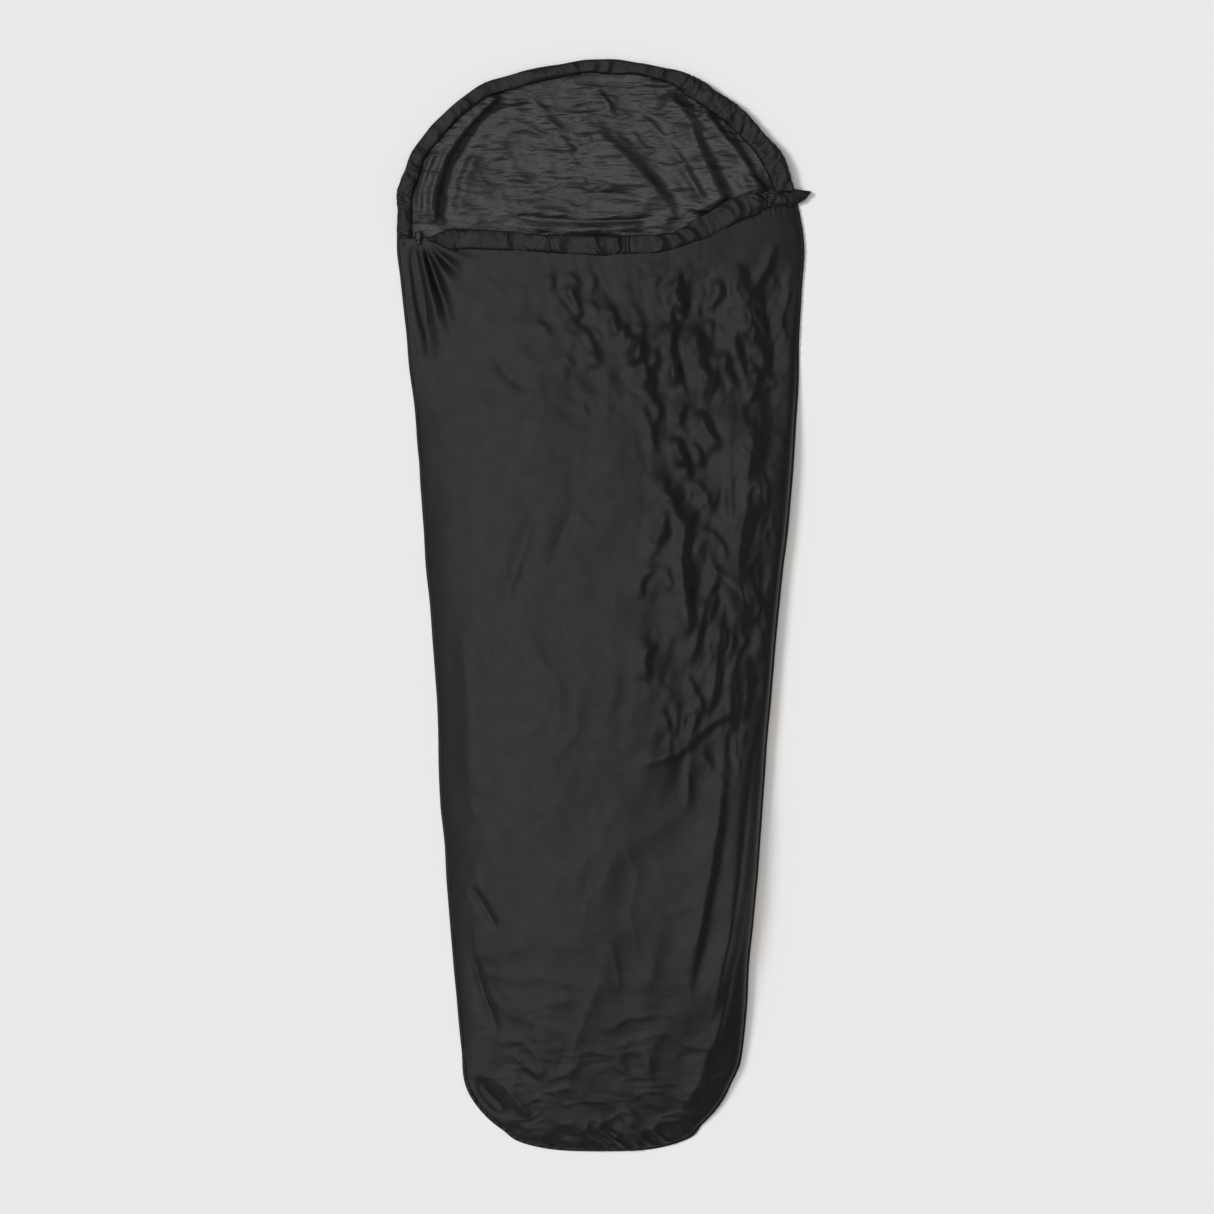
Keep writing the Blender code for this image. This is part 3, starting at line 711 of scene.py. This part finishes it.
def column_places(columns):
    """Places from -1 to 1 across the sack, closer together near its edges."""
    w = np.linspace(-1.0, 1.0, columns)
    return 0.55 * w + 0.45 * np.sin(0.5 * np.pi * w)


def body_grid():
    """Flat places of the top panel, rows from the foot to the chest hem, columns from -X to +X."""
    inset = 0.0035
    rows, columns = 320, 151
    angle = np.linspace(0.016, math.acos(-0.70 / (LENGTH / 2)), rows)
    y_row = -(LENGTH / 2 - inset) * np.cos(angle)
    u = column_places(columns)
    y = np.repeat(y_row[:, None], columns, axis=1)
    x = centre_x(y) + u[None, :] * half_width(y, inset)
    start = 0.40
    reach = hem_y(x) + 0.004
    stretch = np.where(y > start, (y - start) / (y_row[-1] - start), 0.0)
    y = np.where(y > start, start + stretch * (reach - start), y)
    x = centre_x(y) + u[None, :] * half_width(y, inset)
    return x, y, inset


def body_folds(x, y):
    """The folds that the fabric of the body lies in."""
    z = np.zeros(x.shape)
    # drawn together by the cord lock at the left end of the mouth
    lock = (-0.372, 0.735)
    add_folds(z, x, y, (
        ([(-0.388, 0.735), (-0.382, 0.66), (-0.364, 0.56), (-0.338, 0.43)],
         -0.019, 0.008, 0.006, 0.12, 2.2, 0.75),
        ([lock, (-0.36, 0.66), (-0.338, 0.57), (-0.312, 0.46)], 0.008, 0.007, 0.006, 0.12, 1.8, 0.8),
        ([(-0.364, 0.73), (-0.342, 0.66), (-0.318, 0.59), (-0.29, 0.5)],
         -0.015, 0.006, 0.006, 0.12, 2.0, 0.8),
        ([(-0.36, 0.728), (-0.324, 0.665), (-0.29, 0.6)], 0.006, 0.006, 0.006, 0.15, 1.5, 0.8),
        ([(-0.352, 0.727), (-0.318, 0.695), (-0.278, 0.65)], -0.013, 0.006, 0.007, 0.15, 1.2, 0.7),
        ([(-0.35, 0.728), (-0.3, 0.706), (-0.23, 0.682)], 0.006, 0.007, 0.008, 0.15, 0.8, 0.8),
        ([(-0.34, 0.727), (-0.29, 0.718), (-0.23, 0.708)], -0.006, 0.005, 0.006, 0.15, 0.8, 0.8),
        ([(-0.402, 0.7), (-0.392, 0.6), (-0.372, 0.5), (-0.35, 0.4)], 0.006, 0.008, 0.008, 0.2, 0.8, 0.7),
    ))
    # irregular folds: strong down the right third, slight below the mouth, faint elsewhere
    right = smooth_step((x - 0.05) / 0.14) * bump_between(y, -0.34, 0.62, 0.10)
    upper = smooth_step((x + 0.16) / 0.14) * bump_between(y, 0.42, 0.60, 0.09) * (1.0 - right)
    rest = 0.21 * bump_between(y, -0.98, 0.60, 0.08)
    z -= 0.0080 * right + 0.0030 * upper
    z += 0.0060 * drape(x, y, 0.050, 0.140, 101, -0.10) * right
    z += 0.0040 * drape(x, y, 0.046, 0.080, 111, 0.35) * upper
    add_folds(z, x, y, (
        ([(0.137, 0.575), (0.133, 0.5), (0.146, 0.43)], 0.013, 0.011, 0.034, 0.25),
        ([(0.18, 0.58), (0.188, 0.52), (0.202, 0.47), (0.238, 0.42)], 0.014, 0.013, 0.036, 0.25),
        ([(0.255, 0.705), (0.278, 0.64), (0.305, 0.57), (0.316, 0.5)], 0.014, 0.014, 0.036, 0.25),
        ([(-0.072, 0.65), (-0.06, 0.61), (-0.043, 0.57)], 0.009, 0.008, 0.024, 0.25),
        ([(-0.044, 0.565), (-0.022, 0.52), (0.002, 0.47)], 0.008, 0.008, 0.024, 0.25),
        ([(0.068, 0.55), (0.074, 0.5), (0.097, 0.43)], 0.012, 0.009, 0.03, 0.25),
        ([(0.01, 0.61), (0.022, 0.57), (0.03, 0.53)], 0.006, 0.007, 0.02, 0.25),
        ([(0.148, 0.34), (0.153, 0.31), (0.167, 0.275)], 0.008, 0.007, 0.02, 0.25),
        ([(0.188, 0.4), (0.203, 0.36), (0.234, 0.31)], 0.011, 0.009, 0.028, 0.25),
        ([(0.302, 0.45), (0.292, 0.34), (0.28, 0.21), (0.268, 0.09), (0.28, -0.09)],
         0.012, 0.018, 0.04, 0.25),
        ([(0.186, 0.215), (0.163, 0.15), (0.156, 0.08), (0.168, -0.02), (0.156, -0.09)],
         0.014, 0.012, 0.036, 0.25),
        ([(0.205, 0.03), (0.19, -0.05), (0.168, -0.13)], 0.01, 0.009, 0.026, 0.25),
        ([(0.135, 0.165), (0.11, 0.125), (0.08, 0.085)], 0.005, 0.008, 0.02, 0.25),
        ([(0.245, 0.03), (0.228, -0.06), (0.222, -0.16), (0.2, -0.24)], 0.009, 0.009, 0.028, 0.25),
    ))
    z += scattered_folds(x, y, 40, 301, (0.20, 0.20), (0.13, 0.44), 0.05, 0.55,
                         0.100, 0.0085, 0.0085, 0.026)
    z += scattered_folds(x, y, 26, 311, (0.07, 0.56), (0.20, 0.10), 0.35, 0.60,
                         0.065, 0.0055, 0.0060, 0.018)
    z += 0.0170 * drape(x, y, 0.085, 0.260, 121, -0.25) * rest
    # single folds on the smooth left half
    add_folds(z, x, y, (
        ([(-0.135, 0.21), (-0.165, 0.1), (-0.205, -0.01)], -0.0055, 0.01, 0.022, 0.3),
        ([(-0.055, 0.205), (-0.085, 0.13), (-0.115, 0.07)], -0.0045, 0.01, 0.02, 0.3),
        ([(-0.225, 0.5), (-0.185, 0.455), (-0.14, 0.43)], -0.004, 0.012, 0.01, 0.3),
        ([(-0.09, 0.64), (-0.055, 0.585), (-0.03, 0.55)], -0.0065, 0.009, 0.009, 0.3),
        ([(-0.285, -0.02), (-0.27, -0.22), (-0.262, -0.4)], 0.004, 0.014, 0.02, 0.25),
        # across the hips, then long folds down the lower right side
        ([(0.05, -0.325), (0.15, -0.29), (0.23, -0.225), (0.3, -0.2)], 0.007, 0.014, 0.009, 0.25),
        ([(0.305, -0.22), (0.285, -0.42), (0.252, -0.66), (0.205, -0.86)], 0.012, 0.011, 0.036, 0.2),
        ([(0.245, -0.28), (0.225, -0.46), (0.19, -0.66), (0.165, -0.8)], 0.009, 0.01, 0.034, 0.25),
        ([(0.292, -0.52), (0.27, -0.68), (0.232, -0.84), (0.205, -0.93)], 0.009, 0.01, 0.022, 0.25),
        ([(0.345, 0.74), (0.31, 0.66), (0.275, 0.6)], 0.006, 0.01, 0.01, 0.3),
        ([(0.375, 0.7), (0.36, 0.6), (0.335, 0.52)], 0.005, 0.01, 0.008, 0.3),
        # foot: a deep dent at the left corner and low folds across
        ([(-0.25, -0.94), (-0.226, -0.985), (-0.18, -1.03)], -0.02, 0.014, 0.022, 0.3),
        ([(-0.268, -0.955), (-0.24, -1.01), (-0.19, -1.05)], 0.008, 0.007, 0.007, 0.3),
        ([(-0.2, -0.955), (-0.165, -1.0), (-0.13, -1.04)], 0.006, 0.01, 0.008, 0.3),
        ([(-0.262, -0.56), (-0.235, -0.6), (-0.205, -0.655)], -0.006, 0.006, 0.009, 0.3),
        ([(-0.258, -0.68), (-0.24, -0.76), (-0.205, -0.86)], -0.007, 0.006, 0.012, 0.3),
        ([(0.215, -0.86), (0.19, -0.96), (0.145, -1.03)], 0.006, 0.014, 0.022, 0.3),
    ))
    foot = smooth_step((-0.45 - y) / 0.55)
    z += 0.0035 * drape(y, x, 0.040, 0.085, 131, 0.16) * foot
    return z


def small_folds(x, y):
    """Creases too small for the cloth simulation's cells."""
    right = smooth_step((x - 0.03) / 0.12) * bump_between(y, -0.30, 0.64, 0.08)
    upper = smooth_step((x + 0.20) / 0.14) * bump_between(y, 0.40, 0.68, 0.06)
    foot = smooth_step((-0.60 - y) / 0.45)
    z = 0.0030 * drape(x, y, 0.021, 0.052, 151, -0.2) * right
    z += 0.0020 * drape(x, y, 0.020, 0.040, 161, 0.4) * upper
    z += 0.0017 * drape(y, x, 0.017, 0.055, 171) * foot
    return z + 0.0014 * drape(x, y, 0.040, 0.110, 181, 0.15)


def make_body():
    x, y, inset = body_grid()
    rows, columns = x.shape
    top = arch_height(x, y, inset, loft_at(y))
    flat = np.stack([x, y, PANEL_Z + top], axis=-1)
    edge = np.minimum(1.0, (half_width(y, inset) - np.abs(x - centre_x(y))) / 0.05)
    foot_edge = smooth_step((y + LENGTH / 2) / 0.05)
    chest_edge = smooth_step((hem_y(x) - y) / 0.05)
    inner = smooth_step(edge) * foot_edge * (0.30 + 0.70 * chest_edge)
    start = flat.copy()
    start[..., 2] += body_folds(x, y) * inner
    pins = np.zeros((rows, columns))
    pins[0, :] = pins[-1, :] = 1.0
    pins[:, 0] = pins[:, -1] = 1.0
    slack = flat.copy()
    right = smooth_step((x - 0.02) / 0.20)
    slack[..., 0] = x * (1.012 + 0.020 * right)
    slack[..., 1] = y * 1.010
    result = relax_cloth("body_cloth", start.reshape(-1, 3), slack.reshape(-1, 3),
                         grid_faces(rows, columns), pins.ravel(), 16, 0.008, 0.25)
    result = result.reshape(rows, columns, 3)
    result[..., 2] += small_folds(x, y) * inner

    # puckers where the fabric is gathered into the chest hem and the foot seam
    s = x / 0.011 + 1.4 * value_noise(x, y, 0.03, 0.2, 5)
    gather = (1.0 - chest_edge) * (0.4 + 0.6 * smooth_step(value_noise(x, 0 * y, 0.05, 1.0, 8)))
    result[..., 2] += 0.0016 * np.sin(2 * np.pi * s) * gather * smooth_step(edge)
    foot = smooth_step((-1.02 - y) / 0.05) * smooth_step(edge * 3)
    result[..., 2] += 0.0075 * drape(x, y, 0.034, 0.060, 191) * foot
    result[..., 2] = np.maximum(result[..., 2], PANEL_Z + 0.0012)
    over = np.maximum(0.0, result[..., 2] - HIGHEST_FOLD)
    result[..., 2] -= over - 0.003 * np.tanh(over / 0.003)

    uv = np.stack([x, y], axis=-1)
    obj = new_mesh_object("body_fabric", lay_out(result), grid_faces(rows, columns), uv)
    finish_sheet(obj, SHELL, COATED)
    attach(obj, "sack")
    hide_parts("top_panel")
    return obj


def finish_sheet(obj, upper, under):
    """Smooths a sheet and gives it a thickness, with one material on top and one below."""
    set_material(obj, upper, under)
    subdivide(obj)
    sides = obj.modifiers.new("two_sides", "SOLIDIFY")
    sides.thickness = FABRIC_THICKNESS
    sides.offset = -1.0
    sides.material_offset = 1
    sides.use_quality_normals = True


# ---- floor and hood fabric
def hood_folds(x, y):
    z = np.zeros(x.shape)
    # pleated strip inside the left rim, with a deep edge towards the middle
    add_folds(z, x, y, (
        ([(-0.345, 0.765), (-0.325, 0.86), (-0.285, 0.95), (-0.205, 1.035)], 0.013, 0.038, 0.006, 0.08),
        ([(-0.375, 0.78), (-0.358, 0.86), (-0.328, 0.93)], 0.006, 0.008, 0.006, 0.2),
        ([(-0.352, 0.77), (-0.336, 0.85), (-0.304, 0.93)], 0.006, 0.008, 0.006, 0.2),
        ([(-0.322, 0.762), (-0.302, 0.86), (-0.262, 0.945), (-0.19, 1.015)], -0.008, 0.007, 0.013, 0.1),
        ([(-0.295, 0.775), (-0.275, 0.87), (-0.24, 0.93)], 0.004, 0.01, 0.016, 0.2),
        # folds that fan out to the right side of the mouth, each gentle towards -X and steep beyond
        ([(-0.05, 0.985), (0.025, 0.92), (0.09, 0.855), (0.162, 0.765)], 0.021, 0.012, 0.06, 0.35, 0.2),
        ([(0.065, 1.000), (0.12, 0.945), (0.17, 0.87), (0.205, 0.79)], 0.008, 0.008, 0.02, 0.15),
        ([(0.12, 1.035), (0.17, 0.985), (0.2, 0.9), (0.25, 0.8)], 0.02, 0.013, 0.04, 0.1, 0.2),
        ([(0.195, 1.01), (0.25, 0.94), (0.3, 0.865), (0.335, 0.825)], 0.017, 0.012, 0.032, 0.12),
        ([(0.15, 0.885), (0.205, 0.82), (0.245, 0.775)], 0.005, 0.006, 0.016, 0.2),
        ([(-0.15, 1.03), (-0.11, 0.985), (-0.075, 0.945)], 0.005, 0.008, 0.026, 0.3),
        # creases across the neck
        ([(-0.19, 0.788), (-0.08, 0.779), (0.03, 0.778), (0.11, 0.784)], -0.011, 0.003, 0.007, 0.15),
        ([(-0.18, 0.766), (-0.05, 0.758), (0.09, 0.762)], 0.004, 0.011, 0.009, 0.2),
        ([(-0.18, 0.825), (-0.1, 0.832), (0.00, 0.832), (0.09, 0.822)], -0.007, 0.006, 0.01, 0.2),
        ([(-0.25, 0.85), (-0.18, 0.852), (-0.12, 0.848)], -0.004, 0.005, 0.006, 0.25),
        ([(-0.185, 0.965), (-0.09, 0.945), (-0.01, 0.922)], 0.004, 0.008, 0.005, 0.25),
        ([(-0.13, 0.9), (-0.05, 0.896), (0.04, 0.893)], -0.003, 0.004, 0.006, 0.25),
    ))
    z += 0.0040 * drape(y, x, 0.032, 0.120, 141)
    z += 0.0040 * drape(x, y, 0.090, 0.130, 143, 0.5)
    z += scattered_folds(x, y, 46, 321, (-0.02, 0.90), (0.26, 0.13), 1.50, 0.22,
                         0.120, 0.0032, 0.0110, 0.0040)
    z += scattered_folds(x, y, 16, 331, (0.10, 0.93), (0.22, 0.10), 0.75, 0.45,
                         0.080, 0.0050, 0.0055, 0.0160)
    return z


def make_under_sheet():
    """Floor and hood in one sheet, from the foot to the crown."""
    inset = 0.003
    columns = 161
    angle = np.concatenate([np.linspace(0.016, 2.10, 90)[:-1], np.linspace(2.10, math.pi - 0.02, 190)])
    y_row = -(LENGTH / 2 - inset) * np.cos(angle)
    rows = len(y_row)
    u = column_places(columns)
    y = np.repeat(y_row[:, None], columns, axis=1)
    x = centre_x(y) + u[None, :] * half_width(y, inset)
    rim_gap = rim_distance(x, y, inset)
    hood = smooth_step((beyond_neck(x, y) + 0.005) / 0.05)
    rise = 0.0065 * smooth_step(1.0 - rim_gap / 0.10) * hood
    flat = np.stack([x, y, 0.0010 + rise], axis=-1)
    floor = smooth_step((beyond_neck(x, y) + 0.105) / 0.04) * smooth_step((rim_gap - 0.02) / 0.06)
    inner = smooth_step(rim_gap / 0.04) * np.maximum(hood, floor)
    start = flat.copy()
    start[..., 2] += hood_folds(x, y) * inner
    wrinkle = (0.0024 * crinkle(x, y, 0.110, 0.018, 41) + 0.0016 * crinkle(x, y, 0.05, 0.011, 43)
               + 0.0014 * crinkle(x + 0.4 * y, y, 0.030, 0.040, 45))
    start[..., 2] += wrinkle * inner
    slack = flat.copy()
    slack[..., 1] = y + 0.030 * (y - 0.75) * (y > 0.75)
    slack[..., 0] = x * (1.0 + 0.012 * hood)
    pins = 1.0 - smooth_step((beyond_neck(x, y) + 0.11) / 0.03)
    pins = np.maximum(pins, (rim_gap < 0.006) * 1.0)
    first = int(np.argmax(y_row > 0.62))
    part = slice(first, rows)
    settled = relax_cloth("hood_cloth", start[part].reshape(-1, 3), slack[part].reshape(-1, 3),
                          grid_faces(rows - first, columns), pins[part].ravel(), 18, 0.006, 0.3)
    result = start
    result[part] = settled.reshape(rows - first, columns, 3)
    result[..., 2] = np.maximum(result[..., 2], 0.0010)
    uv = np.stack([x, y], axis=-1)
    obj = new_mesh_object("floor_and_hood_fabric", lay_out(result), grid_faces(rows, columns), uv)
    finish_sheet(obj, COATED, SHELL)
    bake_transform(obj)
    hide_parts("floor_panel", "hood_panel", "neck_seam_tape")
    return obj


def rim_distance(x, y, inset):
    """Rough distance of a place inside the outline."""
    side = half_width(y, inset) - np.abs(x - centre_x(y))
    step = 0.002
    slope = (half_width(y + step, inset) - half_width(y - step, inset)) / (2 * step)
    return np.maximum(0.0, side / np.sqrt(1.0 + slope ** 2))


# ---- hems
def hem_band(name, middle, across, half_wide, half_high, lengthwise, seed, bunch, loose):
    """A flat fabric tunnel along middle, puckered by the cord inside it.

    middle: (n, 3) points; across: (n, 2) unit vectors; bunch: 0 to 1, how tightly it is gathered;
    loose: how far its folds stand up.
    """
    around = 36
    t = 2 * np.pi * np.arange(around) / around
    ca = np.sign(np.cos(t)) * np.abs(np.cos(t)) ** 0.55
    sa = np.sign(np.sin(t)) * np.abs(np.sin(t)) ** 0.8
    s = lengthwise[:, None] * np.ones(around)
    c = ca[None, :] * np.ones(len(middle))[:, None]
    offset = c * half_wide[:, None]
    tight = bunch[:, None]
    skew = 0.6 * c + 1.8 * value_noise(s, offset, 0.03, 0.03, seed)
    pucker = np.sin(2 * np.pi * (s / 0.019 + skew)) * (0.12 + 0.88 * tight)
    slow = np.maximum(-0.12, drape(s, offset, 0.034, 0.050, seed + 3) + 0.30)
    fine = crinkle(s, offset, 0.014, 0.020, seed + 5) - 0.4
    lift = 0.0013 * pucker + loose * slow + (0.0006 + 0.0022 * tight) * fine
    top = np.clip(sa, 0, 1)[None, :]
    edge_wave = 0.0020 * value_noise(s, c * 2.0, 0.045, 1.0, seed + 7) + 0.0010 * pucker * tight
    offset = offset + edge_wave * np.abs(c)
    x = middle[:, None, 0] + across[:, None, 0] * offset
    y = middle[:, None, 1] + across[:, None, 1] * offset
    z = middle[:, None, 2] + half_high[:, None] * sa[None, :] + lift * top
    z = np.maximum(z, 0.0012)
    vertices = np.stack([x, y, z], axis=-1)
    uv = np.stack([s, offset + np.where(sa[None, :] > 0, 0.0, 0.2)], axis=-1)
    n = len(middle)
    faces = grid_faces(n, around, closed=True).tolist()
    vertices = vertices.reshape(-1, 3)
    ends = []
    for end, ring in ((0, 0), (1, n - 1)):
        ends.append(vertices[ring * around:(ring + 1) * around].mean(axis=0))
        centre = n * around + end
        for i in range(around):
            k = (i + 1) % around
            a, b = ring * around + i, ring * around + k
            faces.append([centre, b, a] if end == 0 else [centre, a, b])
    vertices = np.vstack([vertices, ends])
    uv = np.vstack([uv.reshape(-1, 2), [[0, 0], [lengthwise[-1], 0]]])
    obj = new_mesh_object(name, lay_out(vertices), faces, uv)
    face_outwards(obj)
    set_material(obj, HEM)
    subdivide(obj)
    inner_row = lay_out(vertices[:n * around].reshape(n, around, 3)[:, STITCH_COLUMN])
    return obj, inner_row


def make_chest_band():
    x = np.linspace(HEM_LOW.x, CHEST_BAND_END, 420)
    y = hem_y(x)
    middle_y = y - 0.0030 * bump_between(x, -0.22, 0.16, 0.12)
    z_arch = PANEL_Z + arch_height(x, y, 0.0062, MOUTH_LOFT)
    z = np.maximum(z_arch + 0.0005, 0.0100)
    z = z - 0.0032 * np.exp(-((x - 0.034) / 0.005) ** 2) - 0.0020 * bump_between(x, 0.205, 0.225, 0.010)
    middle = np.stack([x, middle_y, z], axis=-1)
    tangent = unit_rows(np.gradient(middle[:, :2], axis=0))
    across = np.stack([-tangent[:, 1], tangent[:, 0]], axis=-1)
    left, right = smooth_step((x - HEM_LOW.x) / 0.05), smooth_step((CHEST_BAND_END - x) / 0.04)
    half_wide = 0.0065 + 0.0125 * left * right + 0.0022 * value_noise(x, 0 * x, 0.07, 1.0, 57)
    half_wide = half_wide + 0.005 * bump_between(x, 0.20, 0.29, 0.03)
    half_high = 0.0045 + 0.0005 * left * right
    bunch = (bump_between(x, -0.165, -0.110, 0.015) + bump_between(x, 0.02, 0.05, 0.01)
             + bump_between(x, -0.386, -0.30, 0.03) + bump_between(x, 0.30, CHEST_BAND_END, 0.03))
    obj, row = hem_band("chest_hem_band", middle, across, half_wide, half_high,
                        path_length(middle), 51, np.clip(bunch, 0, 1), 0.0060)
    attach(obj, "sack")
    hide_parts("chest_hem")
    stitches = stitch_line("chest_hem_stitches", row)
    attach(stitches, "sack")
    return [obj, stitches]


def make_hood_band():
    """The rim's tunnel, wider on the right, folded over the hood's edge."""
    left = rim_angle(-1, 0.002)
    right = rim_angle(1, -0.006)
    count = 520
    sweep = 2 * math.pi + left - right
    turn = np.linspace(0.0, 1.0, count)
    angle = left - sweep * turn
    angle = np.where(angle < -math.pi, angle + 2 * math.pi, angle)
    outer = rim(angle)
    across = unit_rows(outer - rim(angle, 0.028))
    wide = 0.0155 - 0.002 * bump_between(turn, 0.35, 0.62, 0.12)
    wide = wide + 0.007 * bump_between(turn, 0.74, 0.95, 0.1)
    wide = wide + 0.003 * smooth_step(1.0 - turn / 0.075)
    wide = wide * smooth_step(turn / 0.008 + 0.3) * smooth_step((1 - turn) / 0.03 + 0.3)
    middle_xy = outer - across * wide[:, None]
    end = smooth_step(1.0 - turn / 0.06)
    z = 0.0130 + 0.0010 * value_noise(turn, 0 * turn, 0.06, 1.0, 61) - 0.0045 * end
    middle = np.column_stack([middle_xy, z])
    bunch = bump_between(turn, 0.0, 0.10, 0.08) + bump_between(turn, 0.72, 1.0, 0.1)
    high = 0.0052 + 0.0008 * bump_between(turn, 0.7, 0.95, 0.1)
    obj, row = hem_band("hood_hem_band", middle, across, wide, high * np.ones(count),
                        path_length(middle), 71, np.clip(bunch, 0, 1) * 0.7, 0.0050)
    stitches = stitch_line("hood_hem_stitches", row)
    for piece in (obj, stitches):
        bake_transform(piece)
    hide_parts("hood_hem", "hood_drawcord")
    return [obj, stitches]


def rim_angle(side, distance):
    """The angle where the outline is a distance past the neck line."""
    low, high = 0.5 * math.pi, math.pi - 0.05
    for _ in range(40):
        middle = 0.5 * (low + high)
        x, y = rim(side * middle)
        if beyond_neck(x, y) < distance:
            low = middle
        else:
            high = middle
    return side * low


# ---- perimeter seam
def make_side_seams():
    first, last = rim_angle(-1, 0.006), rim_angle(1, -0.004)
    pieces = []
    for name, node, start, end, count in (
            ("left_seam", "side_seam_left", first, -FOOT_SEAM_REACH, 420),
            ("foot_seam_fold", "foot_seam", -FOOT_SEAM_REACH, FOOT_SEAM_REACH, 260),
            ("right_seam", "side_seam_right", FOOT_SEAM_REACH, last, 420)):
        angle = np.linspace(start, end, count)
        outer = rim(angle)
        across = unit_rows(outer - rim(angle, 0.02))
        s = path_length(outer)
        wave = 0.0006 * value_noise(s, 0 * s, 0.030, 1.0, 81) + 0.0004 * np.sin(2 * np.pi * s / 0.017)
        if name == "foot_seam_fold":
            wave = 2.6 * wave + 0.0012 * value_noise(s, 0 * s, 0.014, 1.0, 83)
        aside, height = SEAM_SECTION[None, :, 0], SEAM_SECTION[None, :, 1]
        x = outer[:, None, 0] + across[:, None, 0] * aside
        y = outer[:, None, 1] + across[:, None, 1] * aside
        z = height + wave[:, None] * (height > 0.003)
        size = len(SEAM_SECTION)
        uv = np.stack([np.repeat(s[:, None], size, 1),
                       np.repeat(np.arange(size)[None, :] * 0.0015, count, 0)], axis=-1)
        faces = grid_faces(count, size, closed=True).tolist()
        faces.append(list(range(size)))
        faces.append([(count - 1) * size + i for i in reversed(range(size))])
        obj = new_mesh_object(name, lay_out(np.stack([x, y, z], axis=-1).reshape(-1, 3)), faces, uv)
        face_outwards(obj)
        set_material(obj, SHELL)
        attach(obj, "sack")
        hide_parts(node)
        row = np.column_stack([outer - 0.0040 * across, 0.0044 + wave])
        stitches = stitch_line(name + "_stitches", lay_out(row))
        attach(stitches, "sack")
        pieces += [obj, stitches]
    return pieces


# ---- stitches and tab
def stitch_line(name, path):
    """A row of separate thread stitches lying on path."""
    s = path_length(path)
    stops = np.arange(STITCH_MARGIN, s[-1] - STITCH_MARGIN, STITCH_PITCH)
    ring = 5
    vertices, faces = [], []
    for stop in stops:
        ends = [np.array([np.interp(stop + d, s, path[:, k]) for k in range(3)])
                + (0.0, 0.0, THREAD_RADIUS)
                for d in (-0.5 * STITCH_LENGTH, 0.5 * STITCH_LENGTH)]
        along = (ends[1] - ends[0]) / np.linalg.norm(ends[1] - ends[0])
        side = np.array((-along[1], along[0], 0.0))
        up = np.cross(along, side)
        base = len(vertices)
        for place, scale in ((0.0, 0.45), (0.25, 1.0), (0.75, 1.0), (1.0, 0.45)):
            centre = ends[0] + (ends[1] - ends[0]) * place
            for k in range(ring):
                a = 2 * np.pi * k / ring
                vertices.append(centre + THREAD_RADIUS * scale
                                * (math.cos(a) * side + 0.7 * math.sin(a) * up))
        for row in range(3):
            for k in range(ring):
                n = (k + 1) % ring
                a = base + row * ring
                faces.append([a + k, a + n, a + ring + n, a + ring + k])
        faces.append([base + k for k in reversed(range(ring))])
        faces.append([base + 3 * ring + k for k in range(ring)])
    obj = new_mesh_object(name, vertices, faces)
    face_outwards(obj)
    set_material(obj, THREAD)
    return obj


def make_tab():
    """The folded loop at the right end of the mouth."""
    n, m = 14, 10
    corners = np.array([(0.372, 0.842), (0.372, 0.802), (0.405, 0.818), (0.4195, 0.836)])
    s, t = np.meshgrid(np.linspace(0, 1, n), np.linspace(0, 1, m), indexing="ij")
    a = corners[0] * (1 - t[..., None]) + corners[1] * t[..., None]
    b = corners[3] * (1 - t[..., None]) + corners[2] * t[..., None]
    xy = a * (1 - s[..., None]) + b * s[..., None]
    swell = np.sin(np.pi * t) ** 0.5
    layers = []
    for sign in (1, -1):
        z = 0.0065 + sign * 0.0022 * swell + 0.0012 * np.sin(9 * t + 5 * s) + 0.003 * (1 - s)
        layers.append(np.dstack([xy, z]))
    faces = grid_faces(n, m)
    both = np.vstack([layers[0].reshape(-1, 3), layers[1].reshape(-1, 3)])
    faces = faces.tolist() + (faces[:, ::-1] + n * m).tolist()
    edge = ([i * m for i in range(n)] + [(n - 1) * m + j for j in range(1, m)]
            + [i * m + m - 1 for i in range(n - 2, -1, -1)] + [j for j in range(m - 2, 0, -1)])
    for a, b in zip(edge, edge[1:] + edge[:1]):
        faces.append([a, b, b + n * m, a + n * m])
    uv = np.vstack([np.dstack([s, t]).reshape(-1, 2) * 0.04] * 2)
    obj = new_mesh_object("corner_tab_loop", both, faces, uv)
    face_outwards(obj)
    set_material(obj, HEM)
    subdivide(obj)
    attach(obj, "sack")
    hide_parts("corner_tab")
    return obj


# ---- the scene
make_camera()
make_tail()
make_floor()
make_light()
body = make_body()
under = make_under_sheet()
chest_band = make_chest_band()
hood_band = make_hood_band()
seams = make_side_seams()
tab = make_tab()

KEPT = {
    "chest_drawcord": CORD, "cord_lock_body": PLASTIC, "cord_lock_plunger": BUTTON,
    "cord_lock_spring": STEEL,
    **{f"seam_tape_{place}": TAPE for place in ("left", "right", "foot")},
    **{f"{hem}_bar_tack_{side}": THREAD for hem in ("chest", "hood") for side in ("left", "right")},
}
for node, look in KEPT.items():
    set_material(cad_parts[node], look)
